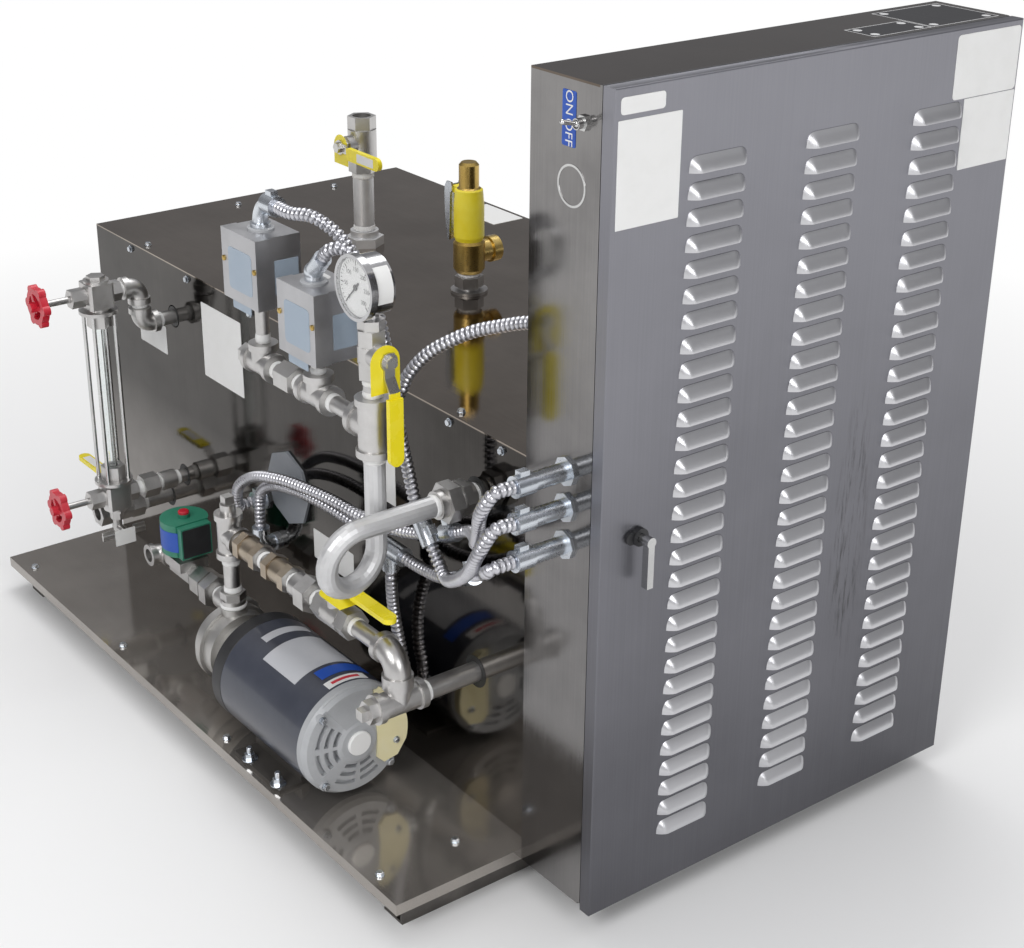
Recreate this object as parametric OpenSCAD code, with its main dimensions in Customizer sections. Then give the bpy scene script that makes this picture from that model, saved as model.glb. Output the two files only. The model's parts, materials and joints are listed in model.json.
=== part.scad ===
// Electric steam generator on a skid: a stainless boiler housing with its water gauge, feed pump,
// pressure controls, steam valve and safety valve, and a louvred electrical cabinet across one end.
// Millimetres, +Z up. The machine's front is -Y and the cabinet door faces +X.
// The origin is on the floor, under the middle of the overall box.

/* [Skid] */
// Length of the deck, from its free end to the cabinet
deck_len = 1149; // [1100:1:1300]
// How far the deck reaches out in front of the housing
deck_front = 208; // [200:1:260]
// Thickness of the deck sheet
deck_t = 3; // [2:0.5:5]
// Depth of the folded edge of the deck
deck_lip = 16; // [12:1:30]
// Clear height under the deck's folded edge
runner_drop = 40; // [30:1:80]
// Width of a runner channel
runner_w = 40; // [30:1:60]
// Thickness of the runner channel
runner_t = 4; // [3:0.5:6]
// Distance of a runner from the end of the deck
runner_inset = 24; // [10:1:60]

/* [Boiler housing] */
// Depth of the housing, front to back
jacket_w = 582; // [520:1:700]
// Height of the housing above the deck
jacket_h = 540; // [520:1:640]
// Thickness of the top cover
cover_t = 2; // [1:0.5:4]
// Distance of the octagonal cover plate from the free end of the deck
octagon_u = 579; // [560:1:600]
// Height of the octagonal cover plate above the deck
octagon_h = 290; // [280:1:300]
// Radius of the octagonal cover plate
octagon_r = 57; // [50:1:60]
// Depth of the clearance holes round the pipes
port_depth = 8; // [4:1:15]
// Clearance round a pipe in its hole
port_gap = 7; // [3:1:10]

/* [Cabinet] */
// Width of the cabinet
cab_w = 637; // [560:1:760]
// Height of the cabinet
cab_h = 1016; // [980:1:1200]
// Depth of the cabinet with its door
cab_d = 136; // [120:1:220]
// How far the cabinet stands out in front of the housing
cab_lead = 15; // [5:1:30]
// Thickness of the cabinet sheet
sheet_t = 2.5; // [1.5:0.5:4]
// Width of the folded lip round the cabinet's mouth
lip_w = 16; // [10:1:22]

/* [Door] */
// Depth of the door pan
door_depth = 18; // [12:1:24]
// Thickness of the door sheet
door_t = 2; // [1.5:0.5:3]
// Gap between the door and the cabinet's mouth
door_gap = 5; // [5:0.5:8]
// How far the door hangs below the cabinet
door_drop = 6; // [0:1:12]
// Radius of a hinge knuckle
knuckle_r = 5; // [4:0.5:6]
// Length of a hinge, three knuckles long
hinge_len = 84; // [60:3:120]
// Reach of the latch handle in front of the door
latch_out = 24; // [22:1:30]

/* [Louvres] */
// Spacing of the rows
louvre_pitch = 29; // [26:0.5:29]
// Height of the lowest louvre above the cabinet's bottom
louvre_low = 72; // [60:1:80]
// Clear height of the door above the louvres
louvre_top = 80; // [60:1:120]
// Length of a louvre
louvre_len = 85; // [60:1:100]
// Height of a louvre
louvre_h = 18; // [15:1:22]
// How far a louvre stands out of the door
louvre_out = 9; // [6:0.5:9]
// Distance of the first column's middle from the latch edge
louvre_near = 147.5; // [140:0.5:170]
// Distance of the last column's middle from the hinge edge
louvre_far = 139.5; // [130:0.5:160]

/* [Water gauge] */
// Distance of the gauge from the free end of the deck
gauge_u = 250; // [230:1:320]
// Reach of the glass in front of the housing
gauge_reach = 122; // [116:1:130]
// Height of the lower gauge valve above the deck
gauge_low = 188; // [180:1:210]
// Height between the two gauge valves
gauge_rise = 328; // [300:1:350]
// Drop of the upper gauge pipe to its port in the housing
gauge_step = 61; // [56:1:75]
// Radius of the gauge glass
glass_r = 8; // [6:0.5:9]
// Wall of the gauge glass
glass_wall = 2.5; // [1.5:0.5:3]
// Radius of a guard rod
guard_r = 3; // [2:0.5:4]
// Radius of a hand wheel at the middle of its rim
wheel_r = 25; // [22:1:30]
// Reach of the hand wheel's tip in front of the housing
wheel_tip = 228; // [224:1:240]
// Distance of the drain valve from the free end of the deck
drain_u = 190; // [175:1:195]
// Height of the drain valve above the deck
drain_h = 132; // [125:1:140]

/* [Steam side] */
// Distance of the steam pipe from the free end of the deck
steam_u = 343; // [320:1:400]
// Height of the steam valve's lower end above the housing
steam_rise = 117; // [80:1:160]
// Radius of the steam pipe
steam_r = 16; // [14:0.1:18]
// Distance of the safety valve from the free end of the deck
safety_u = 619; // [560:1:680]
// Distance of the siphon from the cabinet
siphon_gap = 116; // [100:1:130]
// Height of the siphon's port above the deck
siphon_h = 455; // [445:1:470]
// Radius of the siphon pipe
siphon_r = 13.3; // [11:0.1:14]
// Radius of the siphon's loop
loop_r = 42; // [38:1:46]
// Reach of the siphon's riser in front of the housing
riser_reach = 129; // [126:1:136]
// Height of the control manifold above the siphon's port
manifold_rise = 112; // [108:1:130]
// Spacing of the two pressure controls
control_gap = 131; // [120:1:150]
// Radius of the pressure gauge's case
dial_r = 39; // [36:1:50]
// Depth of the pressure gauge's case
dial_depth = 34; // [28:1:42]

/* [Feed set] */
// Reach of the motor's axis in front of the housing
motor_reach = 120; // [116:1:124]
// Height of the motor's axis above the deck
motor_axis = 89; // [86:1:94]
// Radius of the motor's shell
motor_r = 80; // [74:1:82]
// Length of the motor's shell
motor_len = 225; // [200:1:240]
// Radius of the pump casing
pump_r = 54; // [50:1:58]
// Thickness of the pump casing
pump_t = 45; // [40:1:50]
// Distance of the pump's outlet from the free end of the deck
outlet_u = 613; // [600:1:625]
// Height of the delivery pipe above the deck
delivery_h = 264; // [260:1:275]
// Height of the feed port above the deck
feed_h = 200; // [195:1:205]
// Radius of the delivery and feed pipes
feed_r = 13.3; // [11:0.1:14]
// Reach of the suction line in front of the housing
suction_reach = 90; // [84:1:94]

/* [Ball valves] */
// Length of a lever from its stem
lever_len = 126; // [110:1:130]
// Width of a lever's sleeve
sleeve_w = 19; // [16:1:22]
// Radius of a valve stem
stem_r = 5; // [4:0.5:6]

/* [Conduit] */
// Radius of the flexible conduit
conduit_r = 8.2; // [7:0.1:9]

/* [Hidden] */
$fn = 48;
fit = 0.3;
clear = 5;
cut = 1;

// Overall box and the three reference planes
span_x = deck_len + cab_d + latch_out;
front_reach = max(wheel_tip, riser_reach + 2 * loop_r + siphon_r);
span_y = front_reach + cab_w - cab_lead + 2 * knuckle_r;
x_free = -span_x / 2;
y_jack = -span_y / 2 + front_reach;
deck_z = runner_drop + deck_lip;
jacket_top = deck_z + jacket_h;
function at(u, v, z) = [x_free + u, y_jack + v, z];

// Cabinet
cab_x = x_free + deck_len;
door_x = cab_x + cab_d;
mouth_x = door_x - door_depth - door_gap;
cab_y = y_jack - cab_lead;
cab_far = cab_y + cab_w;
cab_z = runner_drop;
cab_top = cab_z + cab_h;
hinge_x = mouth_x + door_gap / 2;
hinge_y = cab_far + knuckle_r;
hinge_zs = [for (share = [0.12, 0.5, 0.88]) cab_z + share * cab_h];
pin_r = knuckle_r / 2;
leaf_t = 1.2;
latch_y = cab_y + 55;
latch_z = cab_z + cab_h / 2 - 8;
switch_x = door_x - 46;
switch_z = cab_top - 43;
connector_u = deck_len + cab_d - 62;
connector_len = 75;
louvre_rows = floor((cab_h - louvre_low - louvre_top - louvre_h) / louvre_pitch) + 1;
louvre_step = (cab_w - louvre_near - louvre_far) / 2;
louvre_ys = [for (k = [0 : 2]) cab_y + louvre_near + k * louvre_step];

// Pipe fittings
nipple_r = 10.7;
band = 9;
seat_v = port_depth;
elbow_reach = 27;

// Water gauge
gauge_z = deck_z + gauge_low;
gauge_top_z = gauge_z + gauge_rise;
gauge_port_z = gauge_top_z - gauge_step;
gauge_v = -gauge_reach;
drop_v = gauge_v + 67;
guard_off = 20;
valve_half = 23;
nut_h = 22;
plate_h = 5;
bonnet_v = gauge_v - 44;
glass_low = gauge_z + valve_half + plate_h + nut_h;
glass_high = gauge_top_z - valve_half - plate_h - nut_h;

// Ball valves
valve_len = 76;
valve_r = 20;
valve_af = 37;
boss_r = 9;
boss_top = 33;
stem_in = 8;
hub_t = 3;
lever_rise = 10;
drain_z = deck_z + drain_h;
drain_v = -90;
big_valve_len = 86;
big_valve_r = 22;
big_valve_af = 38;
big_boss_top = 38;

// Steam side
vent_v = jacket_w / 2;
steam_z = jacket_top + steam_rise;
safety_z = jacket_top;
siphon_u = deck_len - siphon_gap;
siphon_z = deck_z + siphon_h;
riser_u = siphon_u - 2 * siphon_r - 2.4;
riser_v = -riser_reach;
loop_v = riser_v - loop_r;
loop_z = siphon_z - loop_r;
manifold_z = siphon_z + manifold_rise;
tee_r = 19;
tee_half = 37;
tee_reach = 34;
small_valve_len = 60;
small_valve_r = 17;
small_valve_af = 31;
gauge_nipple = 24;
gauge_valve_z = manifold_z + tee_half + gauge_nipple + small_valve_len / 2;
bushing_h = 12;
dial_z = gauge_valve_z + small_valve_len / 2 + bushing_h + 2 + dial_r;
control_w = 84;
control_h = 90;
control_d = 62;
control_us = [riser_u - 120 - control_gap, riser_u - 120];
control_lifts = [85, 53];
control_v = riser_v + 6;
control_tops = [for (lift = control_lifts) manifold_z + lift + control_h];
union_v = -62;

// Feed set
motor_v = -motor_reach;
motor_z = deck_z + motor_axis;
pump_u = outlet_u - pump_t / 2;
adaptor_len = 50;
shell_u = pump_u + pump_t + adaptor_len;
bell_u = shell_u + motor_len;
bell_t = 25;
cradle_w = 160;
cradle_len = 120;
cradle_u = shell_u + 55;
foot_t = 5;
delivery_z = deck_z + delivery_h;
feed_z = deck_z + feed_h;
feed_u = siphon_u - 3;
feed_valve_u = feed_u - 133;
suction_v = -suction_reach;
suction_z = motor_z + 28;
solenoid_u = pump_u - 175;
inlet_u = solenoid_u - 74;

// Conduit routes, drawn on a plan of [along the deck, out from the housing, height]. The plan stretches
// with the places that it joins: the pump's outlet, the riser, the cabinet, its connectors and the pipes
function along(u) =
    lookup(u, [[0, 0], [613, outlet_u], [1004, riser_u], [1149, deck_len], [1223, connector_u]]);
function height(z) =
    lookup(z, [[0, 0], [56, deck_z], [320, delivery_z], [511, siphon_z], [623, manifold_z],
        [838, manifold_z + 215]]);
function drawn(plan) = [for (p = plan) [along(p[0]), p[1], height(p[2])]];
connector_zs = [for (z = [615, 570, 523]) height(z)];
control_1_route = drawn([[795, -124, 836], [828, -124, 836], [862, -114, 838], [893, -97, 818],
    [911, -80, 778], [915, -75, 735], [919, -71, 690], [926, -67, 650], [941, -62, 628], [957, -58, 636],
    [966, -54, 656], [982, -45, 680], [1002, -33, 700], [1036, -12, 723], [1072, 4, 738], [1113, 15, 752],
    [1137, 15, 752]]);
control_2_route = drawn([[906, -130, 802], [918, -130, 814], [936, -122, 820], [952, -111, 806],
    [963, -102, 770], [968, -94, 735], [969, -86, 695], [970, -79, 650], [972, -71, 590], [976, -63, 540],
    [982, -60, 508], [990, -60, 488], [1000, -60, 476]]);
control_2_tail = drawn([[1020, -60, 452], [1035, -60, 434], [1062, -68, 425], [1105, -84, 447],
    [1160, -106, 488], [1202, -122, 535], [1223, -116, 570], [1223, -90, 570]]);
probe_route = drawn([[505, -20, 302], [505, -44, 302], [530, -56, 345], [580, -57, 379], [640, -54, 397],
    [700, -50, 406], [770, -46, 412], [830, -42, 412], [880, -38, 416], [930, -33, 425],
    [979, -30, 441], [1005, -30, 453]]);
probe_tail = drawn([[1031, -30, 465], [1057, -30, 477], [1092, -46, 486], [1128, -72, 502],
    [1168, -98, 540], [1203, -120, 585], [1223, -116, 615], [1223, -90, 615]]);
solenoid_route = drawn([[541, -30, 276], [541, -30, 302], [550, -31, 336], [584, -33, 360],
    [627, -34, 374], [682, -34, 383], [745, -32, 386], [805, -30, 384], [845, -30, 382], [870, -30, 382]]);
feed_tail = drawn([[916, -30, 382], [944, -30, 382], [1000, -35, 392], [1056, -46, 418], [1084, -54, 434]]);
feed_end = drawn([[1112, -62, 450], [1140, -70, 466], [1180, -96, 492], [1212, -118, 514],
    [1223, -116, 523], [1223, -90, 523]]);
motor_route = drawn([[884, -30, 352], [884, -30, 338], [880, -27, 318], [875, -22, 290], [875, -17, 256],
    [881, -14, 222], [888, -14, 200], [890, -14, 184], [890, -14, 171]]);
conduit_sides = 10;
conduit_step = 34;

// Colours
steel = [0.55, 0.54, 0.52];
bright = [0.78, 0.78, 0.77];
pipe_grey = [0.62, 0.60, 0.57];
yellow = [0.95, 0.85, 0.05];
red = [0.75, 0.08, 0.12];
brass = [0.72, 0.55, 0.22];
grey_box = [0.45, 0.48, 0.52];
motor_blue = [0.22, 0.25, 0.32];
bell_grey = [0.62, 0.63, 0.64];
black = [0.08, 0.08, 0.09];
cream = [0.85, 0.80, 0.58];
coil_green = [0.1, 0.45, 0.32];
clear_glass = [0.8, 0.9, 0.9, 0.4];

// A round bar along X, Y or Z from point p; six sides make a hexagon of circumradius r
module bar_x(p, len, r, sides = $fn) {
    translate(p) rotate([0, 90, 0]) cylinder(h = len, r = r, $fn = sides);
}
module bar_y(p, len, r, sides = $fn) {
    translate(p) rotate([-90, 0, 0]) cylinder(h = len, r = r, $fn = sides);
}
module bar_z(p, len, r, sides = $fn) { translate(p) cylinder(h = len, r = r, $fn = sides); }
function hex_r(across_flats) = across_flats / 2 / cos(30);

// A local frame at p whose x and y axes are the unit vectors a and b
module frame_at(p, a, b) {
    c = cross(a, b);
    multmatrix([[a[0], b[0], c[0], p[0]], [a[1], b[1], c[1], p[1]], [a[2], b[2], c[2], p[2]]]) children();
}

// A screwed elbow with its corner at p, opening along the unit vectors a and b
module elbow(p, a, b, reach = elbow_reach, r = 14) {
    bend = reach - band;
    frame_at(p, a, b) {
        translate([bend, bend, 0]) rotate([0, 0, 180])
            rotate_extrude(angle = 90) translate([bend, 0]) circle(r);
        bar_x([bend, 0, 0], band, r + 3);
        bar_y([0, bend, 0], band, r + 3);
    }
}

// A screwed tee with its middle at p: a run both ways along a and a branch along b
module tee(p, a, b, half = tee_half, reach = tee_reach, r = tee_r) {
    frame_at(p, a, b) {
        bar_x([-half, 0, 0], 2 * half, r);
        bar_y([0, 0, 0], reach, r);
        for (side = [-half, half - band]) bar_x([side, 0, 0], band, r + 3);
        bar_y([0, reach - band, 0], band, r + 3);
    }
}

// A ball valve with its middle at p, its flow along a and its stem along b
module ball_valve(p, a, b, len = valve_len, r = valve_r, flats = valve_af, top = boss_top, bore = 0) {
    frame_at(p, a, b) difference() {
        union() {
            bar_x([-len / 2 + 20, 0, 0], len - 40, r);
            for (side = [-len / 2, len / 2 - 22]) bar_x([side, 0, 0], 22, hex_r(flats), 6);
            bar_y([0, 0, 0], top, boss_r + 3, 6);
            bar_y([0, 0, 0], top - 8, boss_r + 6);
        }
        bar_y([0, top - stem_in, 0], stem_in + cut, stem_r + fit);
        if (bore > 0) bar_x([len / 2 - 24, 0, 0], 24 + cut, bore);
    }
}

// A lever for that valve: its stem, a cranked strip along c, a nut and a vinyl sleeve with a round end
module valve_lever(p, b, c, top = boss_top, len = lever_len) {
    strip = [[-10, 0], [20, 0], [36, lever_rise], [len - 8, lever_rise], [len - 8, lever_rise + hub_t],
        [35, lever_rise + hub_t], [19, hub_t], [-10, hub_t]];
    frame_at(p, c, b) {
        translate([0, top + fit + 0.7, -7]) linear_extrude(14) polygon(strip);
        bar_y([0, top - stem_in + fit, 0], stem_in + hub_t + 0.7, stem_r);
        bar_y([0, top + fit + 0.7, 0], hub_t, 11);
        bar_y([0, top + hub_t, 0], 7, hex_r(14), 6);
        translate([0, top + lever_rise - 0.8, 0]) rotate([-90, 0, 0]) linear_extrude(7) {
            translate([42, -sleeve_w / 2]) square([len - 42 - sleeve_w / 2, sleeve_w]);
            translate([len - sleeve_w / 2, 0]) circle(sleeve_w / 2);
        }
    }
}

// Smooth curve through the points of a route
function unit(v) = v / norm(v);
function curve_at(a, b, c, d, t) =
    0.5 * (2 * b + (c - a) * t + (2 * a - 5 * b + 4 * c - d) * t * t + (3 * b - a - 3 * c + d) * t * t * t);
function route_point(pts, i) =
    i < 0 ? 2 * pts[0] - pts[1] : i >= len(pts) ? 2 * pts[len(pts) - 1] - pts[len(pts) - 2] : pts[i];
function smooth_route(pts) = concat(
    [for (i = [0 : len(pts) - 2])
        let (n = max(1, round(norm(pts[i + 1] - pts[i]) / conduit_step)))
        for (k = [0 : n - 1])
            curve_at(route_point(pts, i - 1), pts[i], pts[i + 1], route_point(pts, i + 2), k / n)],
    [pts[len(pts) - 1]]);

// A round tube swept along a route, with rings that don't twist
module conduit(route, r = conduit_r, count = conduit_sides) {
    path = smooth_route([for (p = route) at(p[0], p[1], p[2])]);
    n = len(path);
    last = n - 1;
    tangents = [for (i = [0 : last]) unit(path[min(i + 1, last)] - path[max(i - 1, 0)])];
    seed = unit(cross(tangents[0], abs(tangents[0][0]) < 0.9 ? [1, 0, 0] : [0, 1, 0]));
    sides = [for (i = 0, s = seed; i < n;
        i = i + 1, s = i < n ? unit(s - (s * tangents[i]) * tangents[i]) : s) s];
    points = [for (i = [0 : last]) for (k = [0 : count - 1])
        let (turn = 360 * k / count)
        path[i] + r * (cos(turn) * sides[i] + sin(turn) * cross(tangents[i], sides[i]))];
    walls = [for (i = [0 : last - 1]) for (k = [0 : count - 1])
        let (a = i * count + k, b = i * count + (k + 1) % count)
        [b, a, a + count, b + count]];
    caps = [[for (k = [0 : count - 1]) k], [for (k = [count - 1 : -1 : 0]) last * count + k]];
    polyhedron(points, concat(walls, caps));
}

// Skid
module skid_deck() {
    color(steel) translate(at(0, -deck_front, deck_z - deck_lip)) difference() {
        cube([deck_len, deck_front + jacket_w, deck_lip]);
        translate([deck_t, deck_t, -cut])
            cube([deck_len - 2 * deck_t, deck_front + jacket_w - 2 * deck_t, deck_lip - deck_t + cut]);
    }
}

module runner(u, facing) {
    depth = deck_front + jacket_w - 2 * runner_inset;
    top = deck_z - deck_t;
    web_u = facing > 0 ? u : u + runner_w - runner_t;
    color(steel) union() {
        translate(at(web_u, -deck_front + runner_inset, 0)) cube([runner_t, depth, top]);
        for (z = [0, top - runner_t])
            translate(at(u, -deck_front + runner_inset, z)) cube([runner_w, depth, runner_t]);
    }
}
module left_runner() { runner(runner_inset, 1); }
module right_runner() { runner(deck_len - runner_inset - runner_w, -1); }

// Boiler housing, with a blind clearance hole round each pipe that enters its front
ports = [[gauge_u, gauge_port_z, nipple_r], [gauge_u, gauge_z, nipple_r], [drain_u, drain_z, feed_r],
    [siphon_u, siphon_z, siphon_r], [feed_u, feed_z, feed_r]];
module boiler_jacket() {
    color(steel) difference() {
        translate(at(0, 0, deck_z)) cube([deck_len, jacket_w, jacket_h - cover_t]);
        for (port = ports) bar_y(at(port[0], -cut, port[1]), port_depth + cut, port[2] + port_gap);
    }
}

module jacket_cover() {
    color(steel) translate(at(0, 0, jacket_top - cover_t)) cube([deck_len, jacket_w, cover_t]);
}

module octagon_cover() {
    color(grey_box) bar_y(at(octagon_u, -4, deck_z + octagon_h), 4, octagon_r, 8);
}

// Cabinet walls, each with a folded lip round the door's mouth
wall_x = mouth_x - cab_x;
module cabinet_roof() {
    color(steel) translate([cab_x, cab_y, cab_top - sheet_t]) cube([wall_x, cab_w, sheet_t]);
}
module cabinet_floor() {
    color(steel) translate([cab_x, cab_y, cab_z]) cube([wall_x, cab_w, sheet_t]);
}
module cabinet_side(y, lip_y) {
    inner_h = cab_h - 2 * sheet_t;
    color(steel) union() {
        translate([cab_x, y, cab_z + sheet_t]) cube([wall_x, sheet_t, inner_h]);
        translate([mouth_x - sheet_t, lip_y, cab_z + sheet_t]) cube([sheet_t, lip_w, inner_h]);
    }
}
module cabinet_left_side() { cabinet_side(cab_y, cab_y); }
module cabinet_right_side() { cabinet_side(cab_far - sheet_t, cab_far - lip_w); }
module cabinet_back() {
    color(steel) translate([cab_x, cab_y + sheet_t, cab_z + sheet_t])
        cube([sheet_t, cab_w - 2 * sheet_t, cab_h - 2 * sheet_t]);
}

// Hinges: the outer knuckles, pin and leaf stay on the cabinet, the middle knuckle on the door
knuckle_len = hinge_len / 3;
module cabinet_hinges() {
    color(bright) for (z = hinge_zs) {
        for (side = [-1, 1])
            bar_z([hinge_x, hinge_y, z + side * knuckle_len - knuckle_len / 2 + fit],
                knuckle_len - 2 * fit, knuckle_r);
        bar_z([hinge_x, hinge_y, z - hinge_len / 2], hinge_len, pin_r);
        for (side = [-1, 1])
            translate([hinge_x - 26, cab_far, z + side * knuckle_len - knuckle_len / 2 + fit])
                cube([26, leaf_t, knuckle_len - 2 * fit]);
    }
}

// One louvre: a pressed hood, open below, closed at its ends, over a slot through the door
hood_face = [[0, louvre_h], [0.55 * louvre_out, 0.75 * louvre_h], [0.9 * louvre_out, 0.4 * louvre_h],
    [louvre_out, 0]];
hood = concat(hood_face, [[louvre_out - door_t, 0], [0.9 * louvre_out - door_t, 0.32 * louvre_h],
    [0.5 * louvre_out - door_t / 2, 0.62 * louvre_h], [0, louvre_h - 2 * door_t]]);
hood_end = concat(hood_face, [[0, 0]]);
module louvre_hood() {
    rotate([90, 0, 0]) translate([0, 0, -louvre_len / 2]) {
        linear_extrude(louvre_len) polygon(hood);
        for (end = [0, louvre_len - door_t]) translate([0, 0, end]) linear_extrude(door_t) polygon(hood_end);
    }
}
module each_louvre() {
    for (y = louvre_ys) for (row = [0 : louvre_rows - 1])
        translate([door_x, y, cab_z + louvre_low + row * louvre_pitch]) children();
}
door_z = cab_z - door_drop;
door_h = cab_h + door_drop;
module cabinet_door() {
    color(steel) difference() {
        union() {
            difference() {
                translate([door_x - door_depth, cab_y, door_z]) cube([door_depth, cab_w, door_h]);
                translate([door_x - door_depth - cut, cab_y + door_t, door_z + door_t])
                    cube([door_depth - door_t + cut, cab_w - 2 * door_t, door_h - 2 * door_t]);
            }
            each_louvre() louvre_hood();
            for (z = hinge_zs) {
                bar_z([hinge_x, hinge_y, z - knuckle_len / 2 + fit], knuckle_len - 2 * fit, knuckle_r);
                translate([hinge_x, cab_far, z - knuckle_len / 2 + fit])
                    cube([door_x - hinge_x - door_t, leaf_t, knuckle_len - 2 * fit]);
            }
        }
        each_louvre() translate([-door_t - cut, -louvre_len / 2 + door_t, 0])
            cube([door_t + cut, louvre_len - 2 * door_t, louvre_h - 2 * door_t]);
        for (z = hinge_zs) bar_z([hinge_x, hinge_y, z - hinge_len / 2], hinge_len, pin_r + fit);
    }
}

// Latch: a base plate with a key cylinder, and a handle that turns at its upper end
latch_hub_z = latch_z + 2;
key_off = 12;
grip_w = 9;
grip_len = 58;
module latch_base() {
    color(black) difference() {
        union() {
            bar_x([door_x, latch_y, latch_hub_z], 6, 11);
            bar_x([door_x, latch_y - key_off, latch_z + 3], 4, 8);
            translate([door_x, latch_y - key_off, latch_z - 3]) cube([3, key_off, 12]);
        }
        bar_x([door_x + 2, latch_y, latch_hub_z], 5, stem_r + fit);
    }
}
module latch_handle() {
    grip_x = door_x + louvre_out + clear;
    grip_t = latch_out - louvre_out - clear;
    color(bright) union() {
        bar_x([door_x + 2 + fit, latch_y, latch_hub_z], latch_out - 3 - fit, stem_r);
        translate([grip_x, latch_y - grip_w / 2, latch_hub_z - grip_len]) cube([grip_t, grip_w, grip_len]);
        bar_x([grip_x, latch_y, latch_hub_z], grip_t, stem_r + 1.5);
    }
}

// Power switch on the cabinet's side, with a toggle lever
toggle_r = 4;
module power_switch() {
    color(bright) difference() {
        union() {
            bar_y([switch_x, cab_y - 4, switch_z], 4, 9, 6);
            bar_y([switch_x, cab_y - 12, switch_z], 12, 6);
        }
        translate([switch_x, cab_y - 10, switch_z]) sphere(toggle_r + fit);
        bar_y([switch_x, cab_y - 12 - cut, switch_z], 3, 5);
    }
}
module switch_lever() {
    color(bright) translate([switch_x, cab_y - 10, switch_z]) {
        sphere(toggle_r);
        rotate([90 - 14, 0, 0]) cylinder(h = 20, r1 = 2, r2 = 3);
        rotate([90 - 14, 0, 0]) translate([0, 0, 20]) sphere(3);
    }
}

// Water gauge
module upper_gauge_pipe() {
    color(pipe_grey) union() {
        bar_y(at(gauge_u, drop_v + 20, gauge_port_z), seat_v - drop_v - 20, nipple_r);
        elbow(at(gauge_u, drop_v, gauge_port_z), [0, 1, 0], [0, 0, 1]);
        bar_z(at(gauge_u, drop_v, gauge_port_z + 20), gauge_step - 40, nipple_r);
        elbow(at(gauge_u, drop_v, gauge_top_z), [0, 0, -1], [0, -1, 0]);
        bar_y(at(gauge_u, gauge_v + 35, gauge_top_z), drop_v - 20 - gauge_v - 35, nipple_r);
    }
}
module lower_gauge_pipe() {
    color(pipe_grey) union() {
        bar_y(at(gauge_u, gauge_v + 35, gauge_z), seat_v - gauge_v - 35, nipple_r);
        bar_y(at(gauge_u, gauge_v + 45, gauge_z), 26, hex_r(33), 6);
        bar_y(at(gauge_u, gauge_v + 78, gauge_z), 24, 15);
    }
}

// A gauge valve at height z, with a square block; up is 1 where the glass leaves it upwards
block_w = 40;
block_h = 38;
module gauge_valve_body(z, up) {
    color(pipe_grey) difference() {
        union() {
            bar_z(at(gauge_u, gauge_v, z - valve_half), 2 * valve_half, 19);
            intersection() {
                translate(at(gauge_u - block_w / 2, gauge_v - block_w / 2, z - block_h / 2))
                    cube([block_w, block_w, block_h]);
                bar_z(at(gauge_u, gauge_v, z - block_h / 2), block_h, 0.64 * block_w);
            }
            bar_y(at(gauge_u, gauge_v, z), 35, hex_r(28), 6);
            bar_y(at(gauge_u, bonnet_v + 14, z), -14 - bonnet_v + gauge_v, 13);
            bar_y(at(gauge_u, bonnet_v, z), 22, hex_r(26), 6);
            bar_z(at(gauge_u, gauge_v, up > 0 ? z + valve_half : z - valve_half - plate_h),
                plate_h, guard_off + 9);
            bar_z(at(gauge_u, gauge_v, up > 0 ? z + valve_half + plate_h : z - valve_half - plate_h - nut_h),
                nut_h, hex_r(32), 6);
            bar_z(at(gauge_u, gauge_v, up > 0 ? z - valve_half - 6 : z + valve_half - 1), 7, hex_r(24), 6);
        }
        bar_y(at(gauge_u, bonnet_v - cut, z), 14 + cut, stem_r + fit);
    }
}
module upper_gauge_valve() { gauge_valve_body(gauge_top_z, -1); }
module lower_gauge_valve() { gauge_valve_body(gauge_z, 1); }

// A lobed hand wheel on its stem
wheel_t = 11;
wheel_v = -wheel_tip + 8;
module hand_wheel(z) {
    color(red) union() {
        bar_y(at(gauge_u, wheel_v, z), bonnet_v + 13 - wheel_v, stem_r);
        bar_y(at(gauge_u, -wheel_tip, z), 8, hex_r(13), 6);
        bar_y(at(gauge_u, wheel_v, z), wheel_t + 3, 9);
        translate(at(gauge_u, wheel_v, z)) rotate([-90, 0, 0]) linear_extrude(wheel_t) {
            difference() {
                union() {
                    circle(wheel_r + 2);
                    for (turn = [0 : 60 : 300]) rotate(turn) translate([wheel_r, 0]) circle(7.5);
                }
                circle(wheel_r - 6);
            }
            for (turn = [0 : 120 : 240]) rotate(turn) translate([0, -3.5]) square([wheel_r - 4, 7]);
        }
    }
}
module upper_hand_wheel() { hand_wheel(gauge_top_z); }
module lower_hand_wheel() { hand_wheel(gauge_z); }

module gauge_glass() {
    color(clear_glass) translate(at(gauge_u, gauge_v, glass_low)) difference() {
        cylinder(h = glass_high - glass_low, r = glass_r);
        translate([0, 0, -cut]) cylinder(h = glass_high - glass_low + 2 * cut, r = glass_r - glass_wall);
    }
}
module gauge_guard_rods() {
    low = gauge_z + valve_half + plate_h;
    high = gauge_top_z - valve_half - plate_h;
    color(bright) for (turn = [45 : 90 : 315])
        translate(at(gauge_u, gauge_v, low)) rotate(turn) translate([guard_off + 4, 0, 0])
            cylinder(h = high - low, r = guard_r);
}
wing_half = 36;
wing_u = gauge_u + 20;
module gauge_drain_cock() {
    top = gauge_z - valve_half - 6;
    handle_z = top - 28;
    color(pipe_grey) union() {
        bar_z(at(gauge_u, gauge_v, top - 46), 46, 7);
        bar_z(at(gauge_u, gauge_v, top - 12), 12, hex_r(18), 6);
        bar_x(at(gauge_u - 9, gauge_v, handle_z), 33, 6);
        bar_y(at(wing_u, gauge_v - wing_half, handle_z), 2 * wing_half, 3);
        for (side = [-wing_half, wing_half - 20])
            translate(at(wing_u - 2, gauge_v + side, handle_z - 7)) cube([4, 20, 14]);
    }
}

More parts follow.
